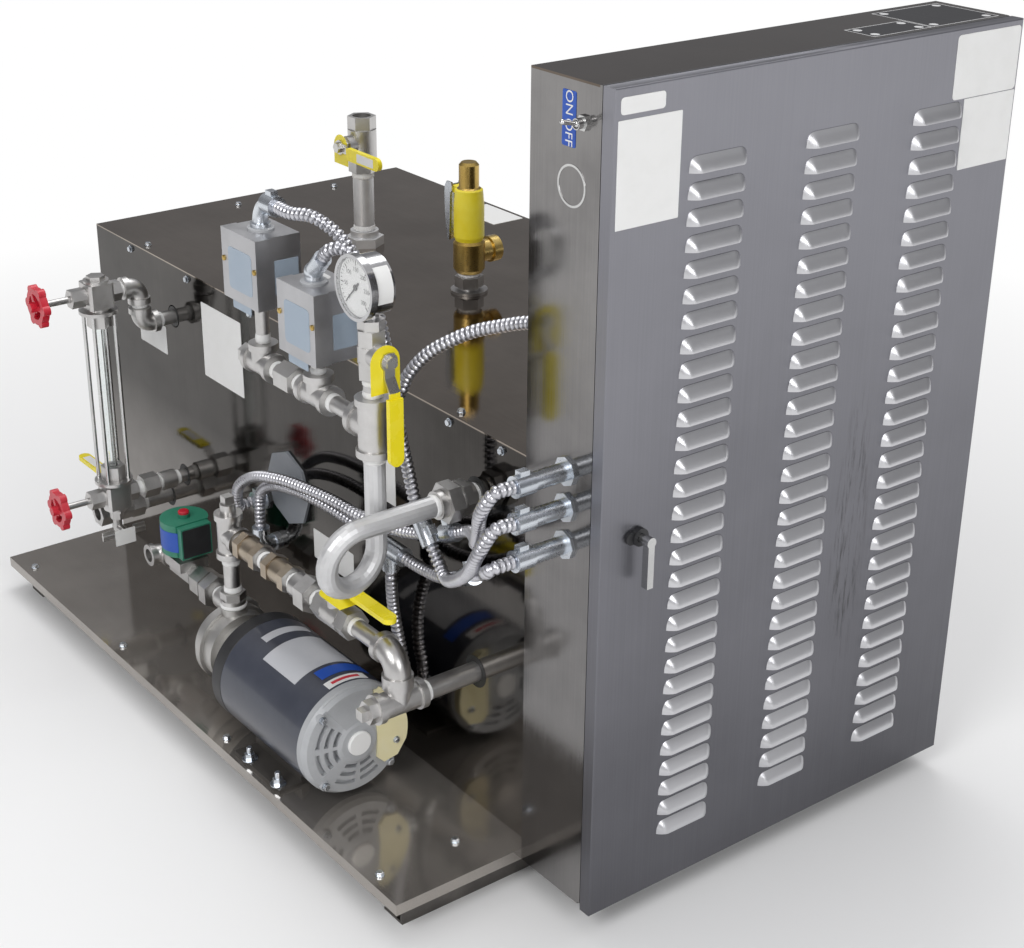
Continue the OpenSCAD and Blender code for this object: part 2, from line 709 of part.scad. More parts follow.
// Drain
module drain_valve() {
    valve_end = drain_v + valve_len / 2;
    color(pipe_grey) union() {
        bar_y(at(drain_u, valve_end - 4, drain_z), seat_v - valve_end + 4, feed_r);
        ball_valve(at(drain_u, drain_v, drain_z), [0, -1, 0], [0, 0, 1], bore = feed_r - 2);
    }
}
module drain_lever() { color(yellow) valve_lever(at(drain_u, drain_v, drain_z), [0, 0, 1], [-1, 0, 0]); }

// Siphon, its union at the housing and the manifold with the two pressure controls
module siphon_union() {
    color(pipe_grey) union() {
        bar_y(at(siphon_u, union_v + 40, siphon_z), seat_v - union_v - 40, siphon_r);
        bar_y(at(siphon_u, union_v, siphon_z), 52, 18);
        bar_y(at(siphon_u, union_v + 10, siphon_z), 18, hex_r(46), 6);
        bar_y(at(siphon_u, union_v + 33, siphon_z), 12, hex_r(40), 6);
    }
}

siphon_turns = 24;
siphon_sides = 16;
siphon_route = concat(
    [[siphon_u, union_v, siphon_z], [siphon_u, union_v - 30, siphon_z]],
    [for (k = [0 : siphon_turns]) let (turn = 270 * k / siphon_turns)
        [siphon_u + (riser_u - siphon_u) * (1 - cos(180 * k / siphon_turns)) / 2,
            loop_v - loop_r * sin(turn), loop_z + loop_r * cos(turn)]],
    [[riser_u, riser_v, loop_z + 45], [riser_u, riser_v, manifold_z - tee_half]]);
module siphon_loop() { color(pipe_grey) conduit(siphon_route, siphon_r, siphon_sides); }

module control_manifold() {
    axis_x = [1, 0, 0];
    up = [0, 0, 1];
    color(pipe_grey) union() {
        tee(at(riser_u, riser_v, manifold_z), up, -axis_x);
        bar_x(at(control_us[0], riser_v, manifold_z), riser_u - control_us[0], nipple_r);
        for (i = [0, 1]) {
            tee(at(control_us[i], riser_v, manifold_z), axis_x, up, 30, 28, 16);
            bar_z(at(control_us[i], riser_v, manifold_z + 20), control_lifts[i] - 20, nipple_r - 2);
            bar_z(at(control_us[i], riser_v, manifold_z + control_lifts[i] - 12), 12, hex_r(24), 6);
        }
        bar_x(at(control_us[0] + 50, riser_v, manifold_z), 34, hex_r(34), 6);
        bar_x(at(control_us[0] - 46, riser_v, manifold_z), 18, hex_r(24), 6);
    }
}

// A pressure control: a case with a wider front cover
cover_d = 22;
cover_lap = 3;
module pressure_control(i) {
    low = manifold_z + control_lifts[i];
    front_v = control_v - control_d / 2;
    color(grey_box) union() {
        translate(at(control_us[i] - control_w / 2 + cover_lap, front_v, low))
            cube([control_w - 2 * cover_lap, control_d, control_h]);
        translate(at(control_us[i] - control_w / 2, front_v - cover_lap, low))
            cube([control_w, cover_d, control_h]);
    }
}
module pressure_control_1() { pressure_control(0); }
module pressure_control_2() { pressure_control(1); }

module gauge_valve() {
    top = gauge_valve_z + small_valve_len / 2;
    color(pipe_grey) union() {
        bar_z(at(riser_u, riser_v, manifold_z + tee_half), gauge_nipple + 8, siphon_r - 2);
        ball_valve(at(riser_u, riser_v, gauge_valve_z), [0, 0, 1], [1, 0, 0],
            small_valve_len, small_valve_r, small_valve_af);
        bar_z(at(riser_u, riser_v, top), bushing_h, hex_r(28), 6);
    }
}
module gauge_lever() {
    color(yellow) valve_lever(at(riser_u, riser_v, gauge_valve_z), [1, 0, 0], [0, 0, -1]);
}

module pressure_gauge() {
    face_v = riser_v - dial_depth / 2 - 6;
    foot = gauge_valve_z + small_valve_len / 2 + bushing_h;
    color(bright) difference() {
        union() {
            bar_z(at(riser_u, riser_v, foot), dial_z - foot, 6.5);
            bar_z(at(riser_u, riser_v, foot), 8, hex_r(16), 6);
            bar_y(at(riser_u, face_v, dial_z), dial_depth, dial_r - 3);
            bar_y(at(riser_u, face_v, dial_z), 9, dial_r);
        }
        bar_y(at(riser_u, face_v - cut, dial_z), 5 + cut, dial_r - 4);
    }
}

// Steam outlet
module steam_pipe() {
    color(pipe_grey) union() {
        bar_z(at(steam_u, vent_v, jacket_top), steam_rise, steam_r);
        bar_z(at(steam_u, vent_v, jacket_top), 14, hex_r(52), 6);
        bar_z(at(steam_u, vent_v, jacket_top + 14), 10, 22);
    }
}
module steam_valve() {
    color(pipe_grey) ball_valve(at(steam_u, vent_v, steam_z + big_valve_len / 2), [0, 0, 1], [0, -1, 0],
        big_valve_len, big_valve_r, big_valve_af, big_boss_top, steam_r - 2);
}
module steam_lever() {
    color(yellow) valve_lever(at(steam_u, vent_v, steam_z + big_valve_len / 2), [0, -1, 0], [1, 0, 0],
        big_boss_top);
}

// Safety valve: a brass body with its outlet to the back, a vinyl sleeve under the cap, and a lift lever
safety_pivot_z = safety_z + 148;
vent_z = safety_z + 57;
lift_out = 28;
body_profile = [[0, 0], [19, 0], [23, 6], [23, 44], [20, 48], [0, 48]];
sleeve_profile = [[0, 0], [20, 0], [22, 6], [22, 50], [20, 74], [14.5, 78], [14.5, 110], [11, 114], [0, 114]];
module safety_valve_body() {
    color(brass) difference() {
        union() {
            bar_z(at(safety_u, vent_v, safety_z), 4, 27);
            bar_z(at(safety_u, vent_v, safety_z), 32, 15);
            bar_z(at(safety_u, vent_v, safety_z + 8), 16, hex_r(37), 6);
            translate(at(safety_u, vent_v, safety_z + 30)) rotate_extrude() polygon(body_profile);
            bar_y(at(safety_u, vent_v, vent_z), 40, 16);
            bar_y(at(safety_u, vent_v + 34, vent_z), 14, 19);
        }
        bar_y(at(safety_u, vent_v + 20, vent_z), 28 + cut, 12);
    }
}
module safety_valve_sleeve() {
    color(yellow) union() {
        translate(at(safety_u, vent_v, safety_z + 78)) rotate_extrude() polygon(sleeve_profile);
        bar_y(at(safety_u - lift_out, vent_v - 9, safety_pivot_z), 18, 5);
        translate(at(safety_u - lift_out, vent_v - 9, safety_pivot_z - 5)) cube([lift_out, 18, 10]);
    }
}

// The lever is a channel: two cheeks on the pivot and a back that joins them
lever_cheek = [[-9, 10], [2, 10], [4, 4], [0, -7], [-1, -40], [-3, -76], [-8, -76], [-13, -40],
    [-14, -8], [-13, 3]];
lever_back = [[-8, -76], [-13, -40], [-14, -8], [-13, 3], [-10.5, 3], [-11.5, -8], [-10.5, -40], [-5.5, -76]];
module safety_lever() {
    color(grey_box) translate(at(safety_u - lift_out, vent_v, safety_pivot_z)) {
        for (v = [-10, 13]) translate([0, v, 0]) rotate([90, 0, 0]) linear_extrude(3) polygon(lever_cheek);
        translate([0, 11, 0]) rotate([90, 0, 0]) linear_extrude(22) polygon(lever_back);
        for (v = [-13, 9 + fit]) bar_y([0, v, 0], 4 - fit, 4);
    }
}

// Motor on a cradle, with a slotted end bell and a cover over its terminals
module motor_cradle() {
    color(motor_blue) difference() {
        union() {
            translate(at(cradle_u, motor_v - cradle_w / 2, deck_z)) cube([cradle_len, cradle_w, foot_t]);
            for (side = [-1, 1])
                translate(at(cradle_u, motor_v + side * 40 - 6, deck_z))
                    cube([cradle_len, 12, motor_axis - motor_r + 24]);
        }
        bar_x(at(cradle_u - cut, motor_v, motor_z), cradle_len + 2 * cut, motor_r + fit);
    }
}
module motor_shell() {
    color(motor_blue) union() {
        bar_x(at(shell_u, motor_v, motor_z), motor_len, motor_r - 1.5);
        bar_x(at(shell_u + 18, motor_v, motor_z), motor_len - 18, motor_r);
    }
}
bell_profile = [[0, 0], [motor_r, 0], [motor_r, 10], [motor_r - 5, 17], [34, 22], [26, bell_t], [0, bell_t]];
lobe_profile = [[24, 8], [motor_r - 1.5, 8], [motor_r - 1.5, 14.5], [motor_r - 5.5, 20], [24, bell_t - 1]];
slot_sectors = [[138, 172], [180, 214], [236, 266], [274, 302]];
slot_radii = [32, 44.5, 57];
slot_w = 6.5;
lug_r = 7;
lug_len = 20;
cover_low = 13;
cover_side = 29;
cover_top = 66;
module bell_frame() { frame_at(at(bell_u, motor_v, motor_z), [0, 1, 0], [0, 0, 1]) children(); }
// The cover's shape on its flat; the bell is cut by the same shape with a gap at its sides
module terminal_cover(gap, r) {
    outline = [[cover_side - gap, cover_top + gap], [cover_side - gap, -35], [39, -45 - gap],
        [60, -41 - gap], [motor_r + 2 * cut, -10], [motor_r + 2 * cut, cover_top + gap]];
    translate([0, 0, cover_low]) linear_extrude(bell_t - cover_low) intersection() {
        polygon(outline);
        circle(r);
    }
}
module motor_end_bell() {
    color(bell_grey) bell_frame() difference() {
        union() {
            rotate_extrude() polygon(bell_profile);
            rotate([0, 0, 70]) rotate_extrude(angle = 56) polygon(lobe_profile);
            for (turn = [135 : 90 : 315]) rotate([0, 0, turn]) translate([motor_r - lug_r - 1.5, 0, 0])
                cylinder(h = lug_len, r = lug_r);
        }
        for (sector = slot_sectors) for (radius = slot_radii) rotate([0, 0, sector[0]])
            rotate_extrude(angle = sector[1] - sector[0]) translate([radius, 12]) square([slot_w, bell_t]);
        terminal_cover(fit, motor_r + cut);
    }
}
module motor_terminal_box() { color(cream) bell_frame() terminal_cover(0, motor_r - 3); }

// Pump: a round casing with an outlet boss on top and a fluted suction collar, on an adaptor
module pump_casing() {
    color(bright) union() {
        bar_x(at(pump_u, motor_v, motor_z), pump_t, pump_r);
        bar_x(at(pump_u + 10, motor_v, motor_z), 12, pump_r + 5);
        bar_x(at(pump_u + pump_t, motor_v, motor_z), adaptor_len, 44);
        bar_x(at(shell_u - 14, motor_v, motor_z), 14, motor_r - 12);
        bar_z(at(outlet_u, motor_v, motor_z), pump_r + 8, 19);
        bar_x(at(pump_u - 12, suction_v, suction_z), 13, 24, 12);
    }
}

// Suction line: inlet elbow, solenoid valve with its coil, union and bushings to the pump
inlet_r = 10.5;
inlet_depth = 16;
module inlet_fittings() {
    inlet = at(inlet_u, suction_v, suction_z);
    color(pipe_grey) difference() {
        union() {
            elbow(inlet, [1, 0, 0], [0, -1, 0]);
            bar_x(at(inlet_u + 20, suction_v, suction_z), solenoid_u - 30 - inlet_u - 20, nipple_r);
            bar_x(at(solenoid_u + 30, suction_v, suction_z), pump_u - 12 - solenoid_u - 30, nipple_r);
            bar_x(at(solenoid_u + 42, suction_v, suction_z), 26, hex_r(40), 6);
            bar_x(at(solenoid_u + 76, suction_v, suction_z), 20, hex_r(46), 6);
            bar_x(at(solenoid_u + 110, suction_v, suction_z), 30, 18);
        }
        bar_y(inlet - [0, elbow_reach + cut, 0], inlet_depth + cut, inlet_r);
    }
}
module solenoid_valve() {
    color(brass) union() {
        bar_x(at(solenoid_u - 30, suction_v, suction_z), 60, hex_r(30), 6);
        translate(at(solenoid_u - 24, suction_v - 24, suction_z + 8)) cube([48, 48, 16]);
        bar_z(at(solenoid_u, suction_v, suction_z + 24), 12, 13);
    }
}
module solenoid_coil() {
    low = suction_z + 36;
    color(coil_green) union() {
        translate(at(solenoid_u, suction_v, low)) intersection() {
            cylinder(h = 52, r = 36);
            translate([-36, -36, 0]) cube([60, 72, 52]);
        }
        translate(at(solenoid_u + 23, suction_v - 25, low)) cube([14, 50, 50]);
        bar_z(at(solenoid_u, suction_v, low + 52), 6, 9);
    }
}

// Delivery: up from the pump to a plugged tee, along two check valves and the feed valve, and down
module delivery_pipe() {
    riser_low = motor_z + pump_r + 8;
    valve_end = feed_valve_u - valve_len / 2;
    joint_u = valve_end - 62;
    color(pipe_grey) union() {
        bar_z(at(outlet_u, motor_v, riser_low), delivery_z - riser_low, feed_r - 1.5);
        bar_z(at(outlet_u, motor_v, riser_low), 12, 18);
        bar_z(at(outlet_u, motor_v, riser_low + 12), 12, hex_r(32), 6);
        tee(at(outlet_u, motor_v, delivery_z), [0, 0, 1], [1, 0, 0], 34, 34, 17);
        bar_z(at(outlet_u, motor_v, delivery_z + 34), 14, 11);
        translate(at(outlet_u - 7, motor_v - 7, delivery_z + 46)) cube([14, 14, 14]);
        bar_x(at(outlet_u, motor_v, delivery_z), valve_end - outlet_u, feed_r - 1.5);
        for (u = [outlet_u + 40, joint_u - 68]) {
            bar_x(at(u, motor_v, delivery_z), 56, 17);
            for (end = [0, 42]) bar_x(at(u + end, motor_v, delivery_z), 14, hex_r(36), 6);
        }
        bar_x(at(joint_u, motor_v, delivery_z), 22, 18);
        bar_x(at(joint_u + 22, motor_v, delivery_z), 24, hex_r(44), 6);
    }
}
module feed_valve() {
    color(pipe_grey) ball_valve(at(feed_valve_u, motor_v, delivery_z), [1, 0, 0], [0, 0, 1]);
}
module feed_lever() {
    color(yellow) valve_lever(at(feed_valve_u, motor_v, delivery_z), [0, 0, 1], [1, 0, 0]);
}
module feed_pipe() {
    start = feed_valve_u + valve_len / 2;
    color(pipe_grey) union() {
        bar_x(at(start, motor_v, delivery_z), feed_u - 22 - start, feed_r - 1.5);
        elbow(at(feed_u, motor_v, delivery_z), [-1, 0, 0], [0, 0, -1], 34, 17);
        bar_z(at(feed_u, motor_v, feed_z), delivery_z - feed_z - 28, feed_r - 1.5);
        tee(at(feed_u, motor_v, feed_z), [0, 1, 0], [0, 0, 1], 36, 30, 17);
        bar_y(at(feed_u, motor_v, feed_z), seat_v - motor_v, feed_r);
        bar_y(at(feed_u, motor_v - 48, feed_z), 14, hex_r(28), 6);
        translate(at(feed_u - 7, motor_v - 58, feed_z - 7)) cube([14, 12, 14]);
    }
}

// Conduit hardware: connectors on the cabinet, the controls, the housing and the motor, each with a
// locknut at its seat and a clamp at its end, and the couplings that join two lengths
sleeve_r = conduit_r + 2.8;
clamp_r = sleeve_r + 2;
locknut_t = 4;
module clamp_end(len) {
    grip = min(24, len - locknut_t);
    ear = min(13, grip - 4);
    bar_x([len - grip, 0, 0], grip, clamp_r);
    translate([len - grip / 2 - ear / 2, clamp_r - 5, -5]) cube([ear, 10, 10]);
}
module connector(p, axis, side, len) {
    frame_at(p, axis, side) {
        bar_x([0, 0, 0], locknut_t, clamp_r + 5, 8);
        bar_x([0, 0, 0], len, sleeve_r);
        clamp_end(len);
    }
}
module coupling(a, b) {
    p = at(a[0], a[1], a[2]);
    q = at(b[0], b[1], b[2]);
    axis = unit(q - p);
    frame_at(p, axis, unit(cross(axis, cross([0, 0, 1], axis)))) {
        bar_x([0, 0, 0], norm(q - p), sleeve_r + 1);
        translate([norm(q - p) / 2 - 6, 0, -5]) cube([12, clamp_r + 5, 10]);
    }
}
function first(route) = route[0];
function final(route) = route[len(route) - 1];
module conduit_connectors() {
    hub_out = first(control_1_route)[0] - control_us[0];
    hub_1 = at(control_us[0], first(control_1_route)[1], first(control_1_route)[2]);
    hub_2 = at(control_us[1], first(control_2_route)[1], control_tops[1]);
    end_2 = first(control_2_route);
    lift_2 = end_2[2] - control_tops[1] - (end_2[0] - control_us[1]);
    back = final(control_1_route);
    probe = first(probe_route);
    level = first(solenoid_route);
    motor = final(motor_route);
    motor_reach_back = motor[1] - motor_v - motor_r;
    color(bright) {
        for (z = connector_zs)
            connector([x_free + connector_u, cab_y, z], [0, -1, 0], [0, 0, 1], connector_len);
        connector(at(deck_len, back[1], back[2]), [-1, 0, 0], [0, 0, 1], deck_len - back[0]);
        union() {
            elbow(hub_1, [1, 0, 0], [0, 0, -1], hub_1[2] - control_tops[0], sleeve_r - 1);
            frame_at(hub_1, [1, 0, 0], [0, 0, 1]) clamp_end(hub_out);
        }
        union() {
            bar_z(hub_2, lift_2, sleeve_r);
            translate(hub_2 + [0, 0, lift_2]) sphere(sleeve_r + 1);
            frame_at(hub_2 + [0, 0, lift_2], unit([1, 0, 1]), unit([-1, 0, 1]))
                bar_x([0, 0, 0], (end_2[0] - control_us[1]) * sqrt(2), sleeve_r);
        }
        connector(at(probe[0], 0, probe[2]), [0, -1, 0], [0, 0, 1], -probe[1]);
        elbow(at(level[0], level[1], level[2] + level[1]), [0, 1, 0], [0, 0, 1], -level[1], sleeve_r - 1);
        elbow(at(motor[0], motor[1], motor[2] - motor_reach_back), [0, -1, 0], [0, 0, 1],
            motor_reach_back, sleeve_r - 1);
    }
}
module conduit_fittings() {
    body = final(solenoid_route);
    branch = first(motor_route);
    color(bright) {
        coupling(final(control_2_route), first(control_2_tail));
        coupling(final(probe_route), first(probe_tail));
        coupling(final(feed_tail), first(feed_end));
        union() {
            bar_x(at(body[0], body[1], body[2]), first(feed_tail)[0] - body[0], clamp_r);
            bar_z(at(branch[0], branch[1], branch[2]), body[2] - branch[2], sleeve_r + 1);
        }
    }
}
module control_conduits() {
    color(bright) {
        conduit(control_1_route);
        conduit(control_2_route);
        conduit(control_2_tail);
    }
}
module probe_conduit() {
    color(bright) {
        conduit(probe_route);
        conduit(probe_tail);
    }
}
module feed_conduits() {
    color(bright) {
        conduit(solenoid_route);
        conduit(feed_tail);
        conduit(feed_end);
        conduit(motor_route);
    }
}

skid_deck();
left_runner();
right_runner();
boiler_jacket();
jacket_cover();
octagon_cover();
cabinet_back();
cabinet_left_side();
cabinet_right_side();
cabinet_roof();
cabinet_floor();
cabinet_hinges();
cabinet_door();
latch_base();
latch_handle();
power_switch();
switch_lever();
upper_gauge_pipe();
upper_gauge_valve();
upper_hand_wheel();
lower_gauge_pipe();
lower_gauge_valve();
lower_hand_wheel();
gauge_glass();
gauge_guard_rods();
gauge_drain_cock();
drain_valve();
drain_lever();
siphon_union();
siphon_loop();
control_manifold();
pressure_control_1();
pressure_control_2();
gauge_valve();
gauge_lever();
pressure_gauge();
steam_pipe();
steam_valve();
steam_lever();
safety_valve_body();
safety_valve_sleeve();
safety_lever();
motor_cradle();
motor_shell();
motor_end_bell();
motor_terminal_box();
pump_casing();
inlet_fittings();
solenoid_valve();
solenoid_coil();
delivery_pipe();
feed_valve();
feed_lever();
feed_pipe();
conduit_connectors();
conduit_fittings();
control_conduits();
probe_conduit();
feed_conduits();
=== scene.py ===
# %% [markdown]
# A steam generator on a skid, dressed in Blender.
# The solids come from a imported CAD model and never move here. This lesson gives each of them its finish,
# and adds what is too small or too fine for the solids: ribs, tape, screws, plates and a dial.

# %% Load the frame
import bisect
import json
import math
import random

import bmesh
import bpy
from mathutils import Matrix, Vector


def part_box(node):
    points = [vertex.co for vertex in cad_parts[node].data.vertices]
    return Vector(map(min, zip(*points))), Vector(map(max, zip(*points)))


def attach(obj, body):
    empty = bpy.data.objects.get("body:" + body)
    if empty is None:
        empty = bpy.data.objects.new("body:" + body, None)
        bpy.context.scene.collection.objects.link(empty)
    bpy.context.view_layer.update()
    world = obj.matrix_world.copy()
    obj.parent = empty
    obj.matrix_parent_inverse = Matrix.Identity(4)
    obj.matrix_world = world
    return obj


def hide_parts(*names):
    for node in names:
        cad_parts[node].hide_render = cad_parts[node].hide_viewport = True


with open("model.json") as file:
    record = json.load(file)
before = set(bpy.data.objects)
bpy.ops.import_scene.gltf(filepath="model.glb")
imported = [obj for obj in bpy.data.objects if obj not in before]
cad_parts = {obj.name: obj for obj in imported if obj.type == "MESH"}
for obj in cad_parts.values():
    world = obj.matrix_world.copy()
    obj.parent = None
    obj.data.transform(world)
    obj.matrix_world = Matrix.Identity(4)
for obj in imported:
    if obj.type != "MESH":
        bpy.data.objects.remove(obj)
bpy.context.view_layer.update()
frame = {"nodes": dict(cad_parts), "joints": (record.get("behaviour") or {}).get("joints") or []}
nodes = frame["nodes"]
draw = random.Random(7)

# %% [markdown]
# Most places below are measured from planes that the solids give: the free end of the deck, the front of
# the housing, the floor and the cabinet. They could be typed in metres, but measuring from the solids keeps
# the dressing on them. The few places in metres are measured from the frame's origin, under the middle of
# the machine.

# %% Reference planes
MM = 0.001
deck_low, deck_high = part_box("skid_deck")
jacket_low, jacket_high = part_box("boiler_jacket")
cover_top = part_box("jacket_cover")[1].z
side_low, side_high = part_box("cabinet_left_side")
roof_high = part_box("cabinet_roof")[1]
door_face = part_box("latch_base")[0].x


def at(u, v, z):
    """A place u along the deck, v behind the housing's front and z above the floor, all in millimetres."""
    return Vector((deck_low.x + u * MM, jacket_low.y + v * MM, z * MM))


print("housing", [round(x, 3) for x in jacket_high - jacket_low], "door face", round(door_face, 4))

# %% [markdown]
# The camera stands where the photographer stood. It could be placed by eye, but the straight edges of the
# cabinet, the housing and the deck together fix a place and a lens, so its values come from those.

# %% Camera
view_azimuth = 52.39
view_elevation = 24.80
view_roll = 0.51
lens_mm = 64.32
sensor_mm = 36
eye = Vector((2.0071, -1.4029, 1.4713))

camera = bpy.data.objects.new("camera", bpy.data.cameras.new("camera"))
bpy.context.scene.collection.objects.link(camera)
camera.data.lens = lens_mm
camera.data.sensor_width = sensor_mm
turn = (Matrix.Rotation(math.radians(view_azimuth), 4, "Z")
        @ Matrix.Rotation(math.radians(90 - view_elevation), 4, "X")
        @ Matrix.Rotation(math.radians(view_roll), 4, "Z"))
camera.matrix_world = Matrix.Translation(eye) @ turn
bpy.context.scene.camera = camera
print("camera", [round(x, 3) for x in eye])

# %% [markdown]
# A finish is a sum of textures. Each Math node could be made by hand, but written as Python sums they stay
# short: this class wraps one socket, and each operator adds the Math node that does it.

# %% Socket sums
class Socket:
    """One output of a shader node, ready for sums with numbers and other sockets."""

    def __init__(self, owner, link):
        self.owner = owner
        self.link = link

    def maths(self, operation, other, swapped=False):
        first, second = (other, self) if swapped else (self, other)
        return self.owner.node("Math", {"operation": operation}, {0: first, 1: second})["Value"]

    def __add__(self, other):
        return self.maths("ADD", other)

    def __sub__(self, other):
        return self.maths("SUBTRACT", other)

    def __rsub__(self, other):
        return self.maths("SUBTRACT", other, swapped=True)

    def __mul__(self, other):
        return self.maths("MULTIPLY", other)

    def __truediv__(self, other):
        return self.maths("DIVIDE", other)

    def __rtruediv__(self, other):
        return self.maths("DIVIDE", other, swapped=True)

    def __gt__(self, other):
        return self.maths("GREATER_THAN", other)

    def __lt__(self, other):
        return self.maths("LESS_THAN", other)

    __radd__ = __add__
    __rmul__ = __mul__


class Outputs:
    """The outputs of one node, by name or number."""

    def __init__(self, owner, made):
        self.owner = owner
        self.made = made

    def __getitem__(self, name):
        return Socket(self.owner, self.made.outputs[name])


print("sums of sockets ready")

# %% [markdown]
# Materials and the world are both trees of nodes. Nodes could be made and linked line by line, but here a
# tree has one method that adds them: it takes the kind of node, its settings and what its sockets get, so
# each finish reads as a list of decisions.

# %% A tree of nodes
class Nodes:
    """A tree of nodes, with one way to add to it."""

    def __init__(self, tree):
        self.tree = tree

    def node(self, kind, settings=None, sockets=None):
        made = self.tree.nodes.new("ShaderNode" + kind)
        for name, value in (settings or {}).items():
            if name == "stops":
                self.set_stops(made.color_ramp, value)
            else:
                setattr(made, name, value)
        for name, value in (sockets or {}).items():
            self.feed(made.inputs[name], value)
        return Outputs(self, made)

    def set_stops(self, ramp, stops):
        while len(ramp.elements) < len(stops):
            ramp.elements.new(0.5)
        for element, (position, colour) in zip(ramp.elements, stops):
            element.position = position
            element.color = colour if len(colour) == 4 else (*colour, 1)

    def feed(self, socket, value):
        if isinstance(value, Socket):
            self.tree.links.new(value.link, socket)
        else:
            socket.default_value = value


print("node trees ready")

# %% [markdown]
# A finish is one material on Blender's principled shader. Its short methods are what every surface here
# needs: a place, a noise, a ramp, a mix of two colours and a bump.

# %% A finish
class Finish(Nodes):
    """A material built on one principled shader."""

    def __init__(self, name, constants):
        self.material = bpy.data.materials.new(name)
        self.material.use_nodes = True
        super().__init__(self.material.node_tree)
        self.shader = self.tree.nodes["Principled BSDF"]
        self.place = None
        for socket, value in constants.items():
            self.shader.inputs[socket].default_value = value

    def set(self, **sockets):
        for name, value in sockets.items():
            self.feed(self.shader.inputs[name.replace("_", " ")], value)

    def where(self):
        if self.place is None:
            self.place = self.node("TexCoord")["Object"]
        return self.place

    def axis(self, letter):
        return self.node("SeparateXYZ", None, {"Vector": self.where()})[letter]

    def noise(self, scale, detail=3.0, rough=0.5, stretch=None):
        place = self.where()
        if stretch:
            place = self.node("Mapping", None, {"Vector": place, "Scale": stretch})["Vector"]
        return self.node("TexNoise", None, {"Vector": place, "Scale": scale, "Detail": detail,
                                            "Roughness": rough})["Fac"]

    def ramp(self, value, low, high):
        return self.node("MapRange", None, {"Value": value, "From Min": low, "From Max": high})["Result"]

    def mix(self, mask, first, second):
        colours = [c if isinstance(c, Socket) else (*c, 1) for c in (first, second)]
        return self.node("Mix", {"data_type": "RGBA"}, {0: mask, 6: colours[0], 7: colours[1]})[2]

    def bump(self, height, depth, strength=1.0):
        made = self.node("Bump", None, {"Height": height, "Distance": depth, "Strength": strength})
        self.set(Normal=made["Normal"])


print("finishes ready")

# %% [markdown]
# The housing and deck are polished sheet. They are nearly mirrors, so a plain grey would not do: most of
# their look is what they reflect. The finish gives a warm tint, faint rolling lines and smears of handling.
# The sheets are one steel, and their tones are painted light and shade: the housing front and the cabinet
# roof are painted dark as shaded faces with dark reflections, and the cover and the deck are painted
# lighter as lit faces.

# %% Polished sheet
low_front_dark, low_front_light = (0.22, 0.205, 0.19), (0.34, 0.32, 0.30)
plate_black, painted_plate_highlight = (0.010, 0.010, 0.012), (0.80, 0.80, 0.80)


def polished_sheet(name, dark, light, lines, gloss, film=0.0, plates=None, bright_below=None):
    """Polished steel under a dull film; plates gives masks for black plates and for their edges and screws,
    painted bright.

    The last argument is a pair of heights between which the front goes from lighter, below, to darker, above.
    """
    sheet = Finish(name, {"Metallic": 1 - film})
    brushed = sheet.noise(1.0, 3, 0.6, lines)
    smear = sheet.ramp(sheet.noise(4.2, 5, 0.62), 0.35, 0.7)
    fine = sheet.noise(34, 4, 0.6)
    tone = sheet.mix(smear * 0.6 + brushed * 0.4, dark, light)
    if bright_below:
        bright = sheet.mix(smear, low_front_dark, low_front_light)
        low_front = (1 - sheet.ramp(sheet.axis("Z"), *bright_below)) * (sheet.axis("Y") < jacket_low.y + 5 * MM)
        tone = sheet.mix(low_front, tone, bright)
    rough = gloss + 0.07 * brushed + 0.09 * smear * fine
    if plates:
        black, bright = plates(sheet)
        # Painted highlight: the plates' edges and screws are painted bright and matt.
        tone = sheet.mix(bright, sheet.mix(black, tone, plate_black), painted_plate_highlight)
        rough = rough + 0.2 * black
        sheet.set(Metallic=1 - black - bright)
    sheet.set(Base_Color=tone, Roughness=rough)
    sheet.bump(brushed, 0.00006, 0.5)
    return sheet.material


roof_spans = ((0.506, 0.603, 0.290, 0.408), (0.556, 0.603, 0.190, 0.288))
roof_edge = 0.0015
roof_screw_r = 0.0055
roof_screw_in = (0.010, 0.012)


def roof_plates(sheet):
    """Two flat black plates on the roof, each with a painted highlight along its edge and a screw near every
    corner painted bright.
    """
    x, y = sheet.axis("X"), sheet.axis("Y")
    black, bright = 0, 0
    edge = roof_edge
    for x0, x1, y0, y1 in roof_spans:
        plate = (x > x0) * (x < x1) * (y > y0) * (y < y1)
        inner = (x > x0 + edge) * (x < x1 - edge) * (y > y0 + edge) * (y < y1 - edge)
        for a in (x0 + roof_screw_in[0], x1 - roof_screw_in[0]):
            for b in (y0 + roof_screw_in[1], y1 - roof_screw_in[1]):
                inner = inner * ((x - a) * (x - a) + (y - b) * (y - b) > roof_screw_r ** 2)
        black = inner + black
        bright = plate - inner + bright
    return black, bright


along_x = (6, 420, 420)
upright = (420, 420, 5)
# Painted light and shade: one steel, painted dark on the housing front and the roof, lighter on the cover and
# the deck.
shaded_housing_steel = polished_sheet("shaded_housing_steel", (0.034, 0.031, 0.028), (0.088, 0.081, 0.075), upright, 0.02,
                               bright_below=(0.14, 0.36))
lit_cover_steel = polished_sheet("lit_cover_steel", (0.24, 0.205, 0.172), (0.40, 0.35, 0.30), along_x, 0.02)
lit_deck_steel = polished_sheet("lit_deck_steel", (0.31, 0.285, 0.26), (0.47, 0.44, 0.405), along_x, 0.04, 0.24)
cabinet_steel = polished_sheet("cabinet_steel", (0.16, 0.155, 0.155), (0.31, 0.30, 0.295), upright, 0.08)
shaded_roof_steel = polished_sheet("shaded_roof_steel", (0.095, 0.074, 0.058), (0.18, 0.148, 0.122), along_x, 0.05,
                            plates=roof_plates)
print("polished sheet: housing, cover, deck, cabinet, roof")

